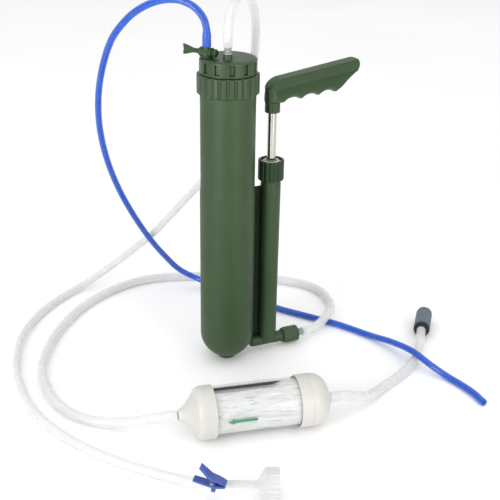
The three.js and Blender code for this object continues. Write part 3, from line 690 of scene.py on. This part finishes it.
def cap():
    """A low round cap with a raised grip pad between each two pockets of its skirt."""
    pockets, angles = ribs(CAP_PADS, 0.34, 0.05, -2.0, 283.7, 292.9, 0.5, CAP_TURN)
    between = [side * part for side in (-1, 1) for part in (0.24, 0.3, 0.36, 0.42)]
    angles += [CAP_TURN + (i + b) * TAU / CAP_PADS for i in range(CAP_PADS) for b in between]
    angles = sorted({round(a % TAU, 6) for a in angles})
    skirt = dense(rounded([
        (23, 281.8), (25.2, 281.8, 0.5), (25.2, 283.7), (25.2, 284.2), (25.2, 292.4), (25.2, 292.9),
        (25.1, 294.1, 0.5), (22.9, 295.4, 1.6), (20, 295.5), (0, 295.65),
    ], steps=5), 1.1)
    inside = [(0, 291.5), (19.1, 291.5), (19.1, 285), (20.1, 285), (20.1, 291.5), (23, 291.5)]

    def on_skirt(angle, r, z):
        return pockets(angle, r, z) * step_up(r, 24.2, 25.0)

    return lathe([*skirt, *inside], angles, on_skirt, ring=True)


def outlet_boss():
    """The boss that the outlet barb stands in, with a rounded collar at its foot."""
    return lathe(rounded([
        (0, 295), (5.0, 295.5), (4.1, 296.1, 0.5), (3.9, 299.9, 0.4), (3.6, 300), (2.8, 300, 0.1), (2.8, 297),
        (0, 297),
    ]), 48)


piece("vessel_shell", vessel(), "green_shell", replaces=["filter_housing"])
piece("collar_ring", collar(), "green_cap", replaces=["neck_collar"], crease=50)
piece("cap_shell", cap(), "green_cap", replaces=["top_cap"], crease=40)
piece("outlet_boss", outlet_boss(), "green_cap", OUTLET)

outlet_barb = lathe([
    (1.5, 292.5), (2.5, 292.5), (2.5, 300.2), (3.4, 300.3), (3.5, 300.5), (3.5, 301.1), (3.3, 301.3),
    (2.8, 301.4), (3.4, 303.3), (3.3, 303.5), (2.8, 303.6), (3.4, 305.4), (3.3, 305.6), (2.4, 305.7),
    (2.45, 307), (1.95, 307.15), (2.35, 309.6), (2.1, 310), (1.4, 310.1),
], 48, ring=True)
piece("outlet_barb_fine", outlet_barb, "grey_barb", OUTLET, replaces=["outlet_barb"])


# ---- Pump barrel, web and duct ----
FOOT_R, FOOT_Z = 8.8, 14
MOUTH_R, MOUTH_Z = 9.5, 172
CYLINDER_R = 7
WEB_Y = 4.2  # middle of the web


def barrel():
    """Its wall widens a little from its round foot to its mouth."""
    outside = [(0, 5.2), *arc(FOOT_R, 0, FOOT_Z, -88, 0, 20)]
    widening = (MOUTH_R - FOOT_R) / (MOUTH_Z - FOOT_Z)
    outside += [(FOOT_R + widening * (z - FOOT_Z), z) for z in np.linspace(22, MOUTH_Z, 16)]
    outside += rounded([
        (MOUTH_R, MOUTH_Z), (MOUTH_R, 174.5), (9.0, 176, 0.6), (9.0, 193.3, 0.2), (CYLINDER_R, 193.3),
    ])[1:]
    return lathe([*outside, (CYLINDER_R, 13), (0, 13)], 72)


def web():
    """The plate between vessel and barrel. Its sides flare out where it meets them."""
    half, flare = 2, 1.4
    vessel_side, barrel_side = UPPER_R, 35.6
    outline = []
    for x in (vessel_side, 25.0, 25.4, 26, 27, 28.5, 30.5, 32.3, 33.3, 34.2, 35.0, 35.9):
        out = flare * math.exp(-(x - vessel_side) / 0.7) + flare * math.exp(-(barrel_side - x) / 0.8)
        outline.append((x, half + out))
    outline += [(x, -y) for x, y in reversed(outline)]
    levels = [(9.3, 1), (40, 1), (80, 1), (120, 1), (160, 1), (168.5, 1), (170.2, 0.9), (171, 0.55)]
    return skin([[(x, WEB_Y - y * shrink, z) for x, y in outline] for z, shrink in levels])


def duct():
    return lathe(rounded([
        (0, 24.4), (4.4, 24.5), (5.1, 25.6, 0.5), (5.5, 27, 0.8), (5.5, 57.2, 0.3), (5.9, 57.6, 0.3),
        (5.9, 58.9, 0.3), (5.3, 59.3, 0.3), (5.3, 71, 0.3), (0, 71),
    ]), 64)


def waterway():
    """The stepped bore through the duct, with a chamber for each check ball, as in the part's source."""
    return lathe([
        (0, 26), (2.9, 26), (2.9, 34), (1.8, 34), (1.8, 49), (2.9, 49), (2.9, 57), (1.8, 57), (1.8, 58.5),
        (2.5, 58.5), (2.5, 72), (0, 72),
    ], 40)


barrel_shell = piece("barrel_shell", barrel(), "green_shell", PUMP, replaces=["pump_barrel"])
# The web wears painted shade: its material is near black for the shade of its groove.
piece("barrel_web", web(), "web_painted_shade")
duct_tube = piece("duct_tube", duct(), "green_shell", INLET)
for tube in (barrel_shell, duct_tube):
    bored(tube, waterway(), INLET)


def gland_nut():
    corners = [
        (9.8, 178.3, 0.3), (11.3, 178.3, 0.6), (11.3, 197.5, 0.7), (9.6, 197.5, 0.5), (9.4, 195.75, 0.2),
        (9.8, 195.7),
    ]
    return ribbed_ring(corners, 1.2, 10.6, 11.2, *ribs(16, 0.6, 0.22, 0.7, 177.6, 198.4, 1.5))


bush = turned_ring([
    (4.3, 184), (6.7, 184), (6.7, 193.6), (9.3, 193.6, 0.2), (9.3, 195.3, 0.2), (7.5, 195.3, 0.2),
    (7.3, 196.9, 0.4), (6.1, 196.9, 0.4), (5.9, 190.5, 0.2), (4.3, 190.5, 0.2),
], 72)
piece("gland_nut_fine", gland_nut(), "green_nut", PUMP, replaces=["gland_nut"], crease=48)
piece("rod_bush_fine", bush, "white_plastic", PUMP, replaces=["rod_bush"])

rod = lathe(rounded([
    (1.8, 61, 0.1), (2.5, 61, 0.3), (2.5, 74.8), (4, 74.8, 0.4), (4, 249, 0.4), (0, 249),
]) + [(0, 72), (1.8, 72)], 64, ring=True)
piece("rod_fine", rod, "chrome_rod", PUMP, "plunger", ["piston_rod"])


# ---- Handle: x runs out along the grip from the rod ----
HEAD_R, HEAD_REACH = 7.65, 7.6
GROOVE_START, GROOVE_PITCH, GROOVES = 9, 20.4, 3
GROOVES_END = GROOVE_START + GROOVE_PITCH * GROOVES
NOSE_START, TIP_START = 78, 93.0
UNDERSIDE_Z, SHOULDER_Z, TOP_Z = 249.9, 264.5, 273
TIP_Z = 273.2  # where the tip reaches furthest
LEAST_HALF, BAR_HALF = 5.9, 6.0
TOP_CURL = 1.6


def grip_top(x):
    if x < GROOVE_START:
        t = min(1.0, max(0.0, (x + HEAD_REACH) / (GROOVE_START + HEAD_REACH)))
        return SHOULDER_Z * (1 - t) ** 1.9 + TOP_Z * (1 - (1 - t) ** 1.9)
    return TOP_Z + (x - GROOVE_START) * 6.4 / 85


def grip_underside(x):
    """Flat under the head, an arch over each finger, then up to the tip."""
    if x < GROOVE_START:
        return UNDERSIDE_Z
    if x < GROOVES_END:
        along = (x - GROOVE_START) / GROOVE_PITCH
        f = along % 1
        return UNDERSIDE_Z + 0.4 * along + 3.1 * (4 * f * (1 - f)) ** 0.8
    if x < NOSE_START:
        return 251.1 + 4.2 * ((x - GROOVES_END) / (NOSE_START - GROOVES_END)) ** 1.2
    f = min(1.0, (x - NOSE_START) / 18.5)
    return 255.3 + 12.9 * (f * (1.25 - 0.25 * f))


def grip_section(x):
    """One side of the section across the grip, from the middle of its underside to the middle of its top.
    A crease parts the finger grip below from the undercut bar above."""
    under, top = grip_underside(x), grip_top(x)
    crease = 262.8 + 6.0 * max(0.0, min(1.0, (x + 2) / 96))
    crease = min(max(crease, under + 0.4), top - 2.5)
    tall = crease - under
    full = LEAST_HALF + 1.7 * step_up(tall, 0.5, 9)
    curl = min(4.2, tall * 0.5)
    side = []
    for k in range(9):
        a = k / 8 * pi / 2
        side.append((full * sin(a) ** 0.8, under + curl * (1 - cos(a))))
    for k in range(1, 8):
        t = k / 8
        side.append((full - (full - LEAST_HALF) * t**1.8, under + curl + (tall - curl) * t))
    bar = crease + 0.7
    side += [(5.75, crease), (BAR_HALF, bar)]
    for k in range(1, 5):
        side.append((BAR_HALF + 0.7 * k / 4, bar + (top - TOP_CURL - bar) * k / 4))
    for k in range(1, 7):
        a = k / 6 * pi / 2
        side.append((5.1 + TOP_CURL * cos(a), top - TOP_CURL + TOP_CURL * sin(a)))
    return [*side, (2.6, top + 0.1), (0, top + 0.15)]


def tip_face(z):
    """How far the tip reaches at a height."""
    return 99.3 - (0.09 if z > TIP_Z else 0.1) * (z - TIP_Z) ** 2


def handle_grip():
    """Lofted along the grip: a round head over the rod, an undercut bar above, a fuller grip below."""
    stations = [(-HEAD_REACH * cos(k / 10 * pi / 2), 0.0) for k in range(11)]
    stations += [(x, 0.0) for x in np.arange(0.8, TIP_START, 0.8)]
    stations += [(TIP_START, out) for out in (0.0, 0.2, 0.4, 0.55, 0.7, 0.82, 0.9, 0.96, 1.0)]
    narrowest, rounds_from = 0.06, 0.55
    loops = []
    for x, out in stations:
        narrow = max(narrowest, math.sqrt(1 - (x / HEAD_R) ** 2)) if x < 0 else 1.0
        if out > rounds_from:
            narrow *= math.sqrt(max(0.02, 1 - ((out - rounds_from) / 0.47) ** 2 * 0.75))
        half = [(y * narrow, z) for y, z in grip_section(min(x + out * 3.4, 96.4))]
        loop = half + [(-y, z) for y, z in reversed(half[1:-1])]
        loops.append([(x + out * (tip_face(z) - x), y, z) for y, z in loop])
    return skin(loops)


def handle_socket():
    corners = [(4.3, 242, 0.2), (6.5, 242, 0.6), (6.5, 251.5, 0.3), (4.3, 251.5, 0.2)]
    return ribbed_ring(corners, 1.0, 6.0, 6.4, *ribs(12, 0.55, 0.3, 0.4, 241.0, 255, 1.6))


piece("handle_grip", handle_grip(), "green_grip", HANDLE, "plunger", ["pump_handle"], crease=60)
piece("handle_socket", handle_socket(), "green_grip", HANDLE, "plunger", crease=48)


# ---- Flush tap ----
TAP_MIDDLE = TAP @ Matrix.Translation((0, 0, 299.8))
TAP_X = TAP_MIDDLE @ ALONG_X

base = lathe(rounded([
    (0, 295.7), (5.4, 295.7, 0.3), (5.0, 296.6, 0.5), (4.3, 297.2, 0.4), (4.0, 299.5), (0, 299.5),
]), 48)
tap_barrel = turned_ring([
    (2.9, -6, 0.1), (4.3, -6, 0.5), (4.3, -4.4, 0.3), (4.0, -4.0, 0.2), (4.0, 4.0, 0.2), (4.3, 4.4, 0.3),
    (4.3, 6, 0.5), (2.9, 6, 0.1),
], 48)
barb = lathe([
    (0, 301), (3.4, 301.3), (3.4, 303.6), (3.2, 304), (2.4, 304.1), (2.7, 306.8), (2.6, 307), (2.1, 307.2),
    (2.5, 309.5), (2.4, 309.7), (1.9, 309.8), (2.2, 312), (1.5, 312.3), (0, 312.3),
], 48)
piece("tap_base", base, "green_grip", TAP, replaces=["tap_body"])
piece("tap_barrel", tap_barrel, "green_grip", TAP_X)
piece("tap_barb", barb, "green_grip", TAP)


def wing():
    """Fish-tail lever, thicker at its hub and along its rim."""
    stations, sides = 24, 28
    loops = []
    for k in range(stations + 1):
        t = k / stations
        half = 2.3 - 0.35 * sin(pi * min(1, t / 0.6)) + 2.2 * step_up(t, 0.35, 1.0)
        pull = 1.0 if t < 0.94 else 1 - 0.35 * ((t - 0.94) / 0.06) ** 2
        thick = (1.55 - 0.35 * t) * pull
        loop = []
        for i in range(sides):
            c, s = cos(TAU * i / sides), sin(TAU * i / sides)
            z = half * math.copysign(abs(s) ** 0.35, s)
            hollow = 1 - 0.28 * (1 - s**2) * step_up(t, 0.1, 0.4)
            y = thick * math.copysign(abs(c) ** 0.45, c) * hollow
            notch = 0.9 * step_up(t, 0.8, 1.0) * (1 - (z / half) ** 2)
            loop.append((-6.2 - 18.2 * t + notch, y, z * (1 - 0.05 * (1 - pull))))
        loops.append(loop)
    return skin(loops)


def tap_knob():
    corners = [(1.8, 6.6, 0.1), (3.1, 6.6, 0.3), (3.2, 9.4, 0.4), (2.7, 10.4, 0.3), (1.8, 10.4, 0.2)]
    return ribbed_ring(corners, 0.6, 2.5, 3.0, *ribs(10, 0.55, 0.3, 0.45, 6.2, 10.8, 0.8))


shaft = lathe(rounded([
    (0, -7.7), (3.2, -7.6, 0.4), (3.2, -6.3, 0.2), (2.6, -6.2), (2.6, 6.3), (1.5, 6.3), (1.5, 9.6), (0, 9.6),
]), 40)
piece("tap_wing", wing(), "green_grip", TAP_MIDDLE, "tap_turn", ["tap_rotor"], crease=50)
piece("tap_shaft", shaft, "green_grip", TAP_X, "tap_turn")
piece("tap_knob", tap_knob(), "green_grip", TAP_X, "tap_turn", ["tap_retainer"], crease=50)


# ---- Inlet nut and barb ----
def inlet_nut():
    corners = [
        (5.9, 59.6, 0.2), (7.2, 59.6, 0.4), (7.4, 61.4, 0.4), (7.4, 76, 0.7), (3.7, 76, 0.2), (3.7, 73.2),
        (5.9, 73.2),
    ]
    return ribbed_ring(corners, 1.0, 6.9, 7.3, *ribs(12, 0.58, 0.24, 0.55, 60.6, 76.6, 1.3))


inlet_barb = lathe([
    (1.7, 71.9), (5.4, 71.9), (5.4, 72.9), (3.3, 72.9), (3.3, 76.6), (3.0, 77), (3.8, 79), (3.7, 79.2),
    (3.0, 79.3), (3.8, 81.3), (3.7, 81.5), (2.6, 81.7), (2.95, 84.2), (2.85, 84.4), (2.5, 84.5),
    (2.85, 85.8), (2.6, 86.1), (1.7, 86.1),
], 48, ring=True)
piece("inlet_nut_fine", inlet_nut(), "green_cap", INLET, replaces=["inlet_nut"], crease=48)
piece("inlet_barb_fine", inlet_barb, "grey_barb", INLET, replaces=["inlet_barb"])


# ---- Pre-filter cartridge: radii, and how far each cap reaches from the middle ----
CAP_END = 66.5
CAP_START = CAP_END - 30
RING_R = 23
TUBE_R, TUBE_HALF = 21.8, 42.1
INK_R, INK_THICK = 21.86, 0.05


def cap_wall(outside):
    """A cap from its outer face, with the bore for a hose and the seat for the tube behind it."""
    bore, seat = 2.9, 19.2
    inside = [
        (bore, CAP_END), (bore, CAP_END - 8), (seat, CAP_END - 21), (seat, CAP_END - 24),
        (22.0, CAP_END - 24), (22.0, CAP_START),
    ]
    return lathe([*outside, *inside], 96, ring=True)


def cap_rim(top):
    """The ring round the tube's end, from its open side up to a height, where a seam runs round it."""
    return [(22.0, CAP_START), (22.7, CAP_START, 0.5), (RING_R, CAP_START + 1.2, 0.4), (RING_R, top, 0.3)]


def outlet_cap():
    """Ring, shoulder with a raised seam, then a hollow cone down to the hose."""
    seam = [(22.5, CAP_END - 18.7, 0.2), (22.6, CAP_END - 18.2, 0.3), (21.6, CAP_END - 15.6, 1.0)]
    out = rounded([*cap_rim(CAP_END - 19.2), *seam])
    out += [(4.9 + 16.6 * (1 - t) ** 1.45, CAP_END - 15.2 * (1 - t)) for t in np.linspace(0.02, 0.98, 20)]
    return cap_wall([*out, (4.9, CAP_END - 0.2), (4.7, CAP_END)])


def inlet_cap():
    """Ring, seam, then a dome and a short neck."""
    seam = [(22.5, CAP_END - 19.7, 0.2), (22.9, CAP_END - 19.2, 0.3), (RING_R, CAP_END - 17)]
    out = rounded([*cap_rim(CAP_END - 20.2), *seam])
    out += arc(15.0, 8.0, CAP_END - 17, 4, 74, 22)
    out += rounded([
        (10.5, CAP_END - 2.3), (7.4, CAP_END - 1.6, 0.8), (5.2, CAP_END - 0.9, 0.6), (4.8, CAP_END),
    ])[1:]
    return cap_wall(out)


LENGTHWAYS = PREFILTER @ ALONG_X
TURNED_BACK = PREFILTER @ Matrix.Rotation(pi, 4, "Z") @ ALONG_X
piece("prefilter_cone", outlet_cap(), "warm_white", TURNED_BACK, replaces=["prefilter_outlet_cap"])
piece("prefilter_dome", inlet_cap(), "warm_white", LENGTHWAYS, replaces=["prefilter_inlet_cap"])

wall = turned_ring([
    (20.2, -TUBE_HALF, 0.2), (TUBE_R, -TUBE_HALF, 0.2), (TUBE_R, TUBE_HALF, 0.2), (20.2, TUBE_HALF, 0.2),
], 96)
piece("prefilter_wall", wall, "clear_plastic", LENGTHWAYS, replaces=["prefilter_tube"])


def fibre():
    """A rolled bat of fibre: shallow creases run along it and wander."""
    half, sides, radius = 39, 150, 19.2
    loops = []
    for x in np.linspace(-half, half, 2 * half + 1):
        loop = []
        for i in range(sides):
            c, s = cos(TAU * i / sides), sin(TAU * i / sides)
            here = Vector((x * 0.045, c * 3.4, s * 3.4))
            crease = 1 - abs(noise.noise(here * 1.3)) * 2.2 - abs(noise.noise(here * 3.1)) * 0.9
            r = radius + 0.6 * crease if abs(x) < half - 0.5 else 19.0
            loop.append((x, r * c, r * s))
        loops.append(loop)
    return skin(loops)


piece("prefilter_fibre", fibre(), "white_fibre", PREFILTER, replaces=["prefilter_media"], crease=60)


def strip_on_wall(edges):
    """A print on the wall: edges holds (x, lowest angle, highest angle) stations, in degrees from the top."""
    verts, faces, rows = [], [], 8
    for reach in (INK_R, INK_R + INK_THICK):
        for x, low, high in edges:
            for k in range(rows + 1):
                a = radians(low + (high - low) * k / rows)
                verts.append((x, -reach * sin(a), reach * cos(a)))
    layer = len(edges) * (rows + 1)
    for i in range(len(edges) - 1):
        for k in range(rows):
            a = i * (rows + 1) + k
            quad = (a, a + 1, a + rows + 2, a + rows + 1)
            faces += [quad, tuple(v + layer for v in reversed(quad))]
    rim = [i * (rows + 1) for i in range(len(edges))]
    rim += [(len(edges) - 1) * (rows + 1) + k for k in range(1, rows + 1)]
    rim += [i * (rows + 1) + rows for i in reversed(range(len(edges) - 1))]
    rim += [k for k in reversed(range(1, rows))]
    for a, b in zip(rim, [*rim[1:], rim[0]]):
        faces.append((a, b, b + layer, a + layer))
    return verts, faces


band = strip_on_wall([(-39, -4, 7), (-20, -4, 7), (0, -4, 7), (14, -4, 7), (22, -4, -2)])
arrow = strip_on_wall([
    (-28, 84.9, 85.1), (-22.5, 78, 92), (-22.4, 81.5, 88.5), (-12, 81.5, 88.5), (-4, 81.5, 88.5),
    (-2.5, 83, 87),
])
rule = strip_on_wall([(5, 84.4, 85.6), (18, 84.4, 85.6), (32, 84.4, 85.6)])
piece("prefilter_band", band, "black_ink", PREFILTER)
piece("prefilter_arrow", arrow, "green_ink", PREFILTER)
piece("prefilter_rule", rule, "grey_ink", PREFILTER)


# ---- Strainer ----
SPONGE_TOP = 38.1

head = lathe(rounded([
    (1.6, -6), (2.6, -6, 0.2), (3.0, -4), (2.5, -3.8), (3.0, -1.6), (2.5, -1.4), (2.5, -0.2),
    (7.4, -0.2, 0.4), (8.1, 0.6, 0.5), (8.1, 2.9, 0.3), (3, 3), (3, 30, 0.3), (1.6, 30),
]), 72, ring=True)
piece("strainer_plug", head, "black_rubber", STRAINER, replaces=["strainer_head"])


def sponge():
    """A round sponge with an uneven skin."""
    outline = rounded([
        (3.4, 3.3), (7.8, 3.3, 0.6), (8.1, 5), (8.1, 33.5), (8.0, 36.4, 1.4), (6.7, 38, 1.6), (0, SPONGE_TOP),
    ], steps=6)
    sides = 110
    loops = []
    for r, z in dense(outline, 0.7)[:-1]:
        loop = []
        for i in range(sides):
            outward = Vector((cos(TAU * i / sides), sin(TAU * i / sides), 0))
            p = outward * r + Vector((0, 0, z))
            rough = noise.noise(p * 1.1) * 0.22 + noise.noise(p * 0.35) * 0.15
            loop.append(tuple(p + outward * rough * step_up(r, 3.5, 5)))
        loops.append(loop)
    return skin([*loops, [(0, 0, SPONGE_TOP)]])


piece("strainer_sponge", sponge(), "grey_sponge", STRAINER, replaces=["strainer_foam"], crease=80)


# ---- Bottle adapter ----
def adapter():
    corners = [
        (1.7, -26), (2.9, -26, 0.3), (2.9, -2), (3.1, -0.6, 0.6), (4.4, 1.0, 1.2), (12.4, 5.6, 0.8),
        (12.9, 6.4, 0.4), (12.9, 16.4, 0.3), (12.7, 17.5, 0.4), (11.4, 17.5, 0.2), (11.4, 7), (6, 7),
        (1.7, 5),
    ]
    return ribbed_ring(corners, 1.0, 12.2, 12.8, *ribs(20, 0.5, 0.36, 0.6, 6.2, 18.5, 1.2), steps=5)


piece(
    "adapter_body", adapter(), "milky_white", ADAPTER,
    replaces=["bottle_adapter"], crease=50,
)


# ---- Spring clip ----
ARM_WIDTH = 7
ARM_BEVEL = 0.45
ACROSS = CLIP @ Matrix.Rotation(radians(-90), 4, "X")

lower = [
    (10.6, -0.3), (2, -1.9), (-3, -2), (-14.6, -1.5), (-15.4, -2.2), (-15.2, -3.1), (-8, -3.9), (-3, -4.3),
    (3, -4.1), (8, -2.7), (10.6, -1.7),
]
upper = [
    (10.6, 0.3), (10.6, 1.7), (8, 2.9), (4, 4.3), (-1, 5.1), (-6, 8.2), (-10.8, 11.4), (-11.7, 11.0),
    (-11.7, 10.2), (-7, 6.0), (-3.4, 2.6), (2, 1.9),
]
for name, outline, body in (("clip_lower", lower, "root"), ("clip_upper", upper, "clip_arm")):
    arm = prism(outline, ARM_WIDTH)
    piece(name, arm, "blue_plastic", CLIP, body, replaces=[name + "_arm"], bevel=ARM_BEVEL)


def clip_disc(name, start, end, body):
    """A round lug about the pin, from one place to another along it."""
    lug = turned_ring([(1.4, start, 0.1), (2.5, start, 0.25), (2.5, end, 0.25), (1.4, end, 0.1)], 40)
    piece(name, lug, "blue_plastic", ACROSS, body)


clip_disc("clip_ear_left", -3.5, -2.7, "root")
clip_disc("clip_ear_right", 2.7, 3.5, "root")
clip_disc("clip_knuckle", -2.4, 2.4, "clip_arm")

pin = lathe(rounded([
    (0, -4.3), (1.3, -4.3, 0.3), (1.3, -3.7, 0.1), (1.1, -3.6), (1.1, 3.6), (1.3, 3.7, 0.1), (1.3, 4.3, 0.3),
    (0, 4.3),
]), 32)
piece("clip_pin_fine", pin, "steel", ACROSS, replaces=["clip_pin"])

loop = turned_ring([(5.6, -0.4, 0.4), (6.7, -0.4, 0.4), (6.7, 2.6, 0.4), (5.6, 2.6, 0.4)], 56)
piece("clip_loop", loop, "blue_plastic", CLIP @ Matrix.Translation((0, 6.2, -7.2)) @ ALONG_X)


# ---- Frame nodes that show as they are, mostly inside ----
SHOWN = {
    "black_rubber": (
        "cap_seal", "cartridge_seal", "rod_seal", "piston_seal_lower", "piston_seal_upper", "inlet_gasket",
    ),
    "white_plastic": (
        "carbon_core_tube", "ultrafilter_shell", "piston", "prefilter_outlet_screen",
        "prefilter_inlet_screen", "adapter_gasket",
    ),
    "grey_sponge": ("lower_sponge", "upper_sponge"),
    "carbon": ("carbon_block",),
    "white_fibre": ("hollow_fibre_bundle",),
    "warm_white": ("potting_disc",),
    "steel": ("piston_screw", "inlet_check_ball", "transfer_check_ball"),
}
for look, names in SHOWN.items():
    for name in names:
        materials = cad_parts[name].data.materials
        materials.clear()
        materials.append(LOOK[look])


# ---- Floor and light: metres and watts ----
FLOOR_HALF = 20
MIDDLE = (0, 0, 0.15)
SKY = ((0.0, 0.72), (0.3, 0.78), (0.8, 1.0))  # (how high it is seen, how bright)
SKY_STRENGTH = 0.8


def floor():
    corners = [(x * FLOOR_HALF, y * FLOOR_HALF, 0) for x, y in ((-1, -1), (1, -1), (1, 1), (-1, 1))]
    data = bpy.data.meshes.new("floor")
    data.from_pydata(corners, [], [(0, 1, 2, 3)])
    f = Finish("floor", Roughness=0.7)
    f.colour(f.ramp(f.noise(3, 2), (0.3, srgb(252, 252, 252)), (0.7, srgb(255, 255, 255))))
    data.materials.append(f.material)
    in_scene("floor", data)


def softbox(name, at, target, size, power):
    light = bpy.data.lights.new(name, "AREA")
    light.shape = "RECTANGLE"
    light.size, light.size_y = size
    light.energy = power
    made = in_scene(name, light)
    made.location = at
    made.rotation_euler = (Vector(target) - Vector(at)).to_track_quat("-Z", "Y").to_euler()


def room():
    """Even and bright all round, a little dimmer towards the horizon and below it."""
    world = bpy.data.worlds.new("studio")
    world.use_nodes = True
    bpy.context.scene.world = world
    nodes, link = world.node_tree.nodes, world.node_tree.links.new
    nodes.clear()
    out = nodes.new("ShaderNodeOutputWorld")
    back = nodes.new("ShaderNodeBackground")
    coords = nodes.new("ShaderNodeTexCoord")
    split = nodes.new("ShaderNodeSeparateXYZ")
    ramp = nodes.new("ShaderNodeValToRGB")
    ramp.color_ramp.elements.new(0.3)
    for element, (place, level) in zip(ramp.color_ramp.elements, SKY, strict=True):
        element.position = place
        element.color = (level, level, level, 1)
    link(coords.outputs["Generated"], split.inputs[0])
    link(split.outputs["Z"], ramp.inputs["Fac"])
    link(ramp.outputs["Color"], back.inputs["Color"])
    back.inputs["Strength"].default_value = SKY_STRENGTH
    link(back.outputs[0], out.inputs[0])


floor()
softbox("key", (-1.05, -0.62, 0.4), MIDDLE, size=(0.36, 0.76), power=7)
softbox("fill", (0.32, -1.3, 0.4), MIDDLE, size=(0.34, 0.76), power=5)
softbox("top", (0.1, 0.2, 1.9), (0, 0, 0), size=(5, 5), power=30)
room()
bpy.context.scene.view_settings.view_transform = "Standard"
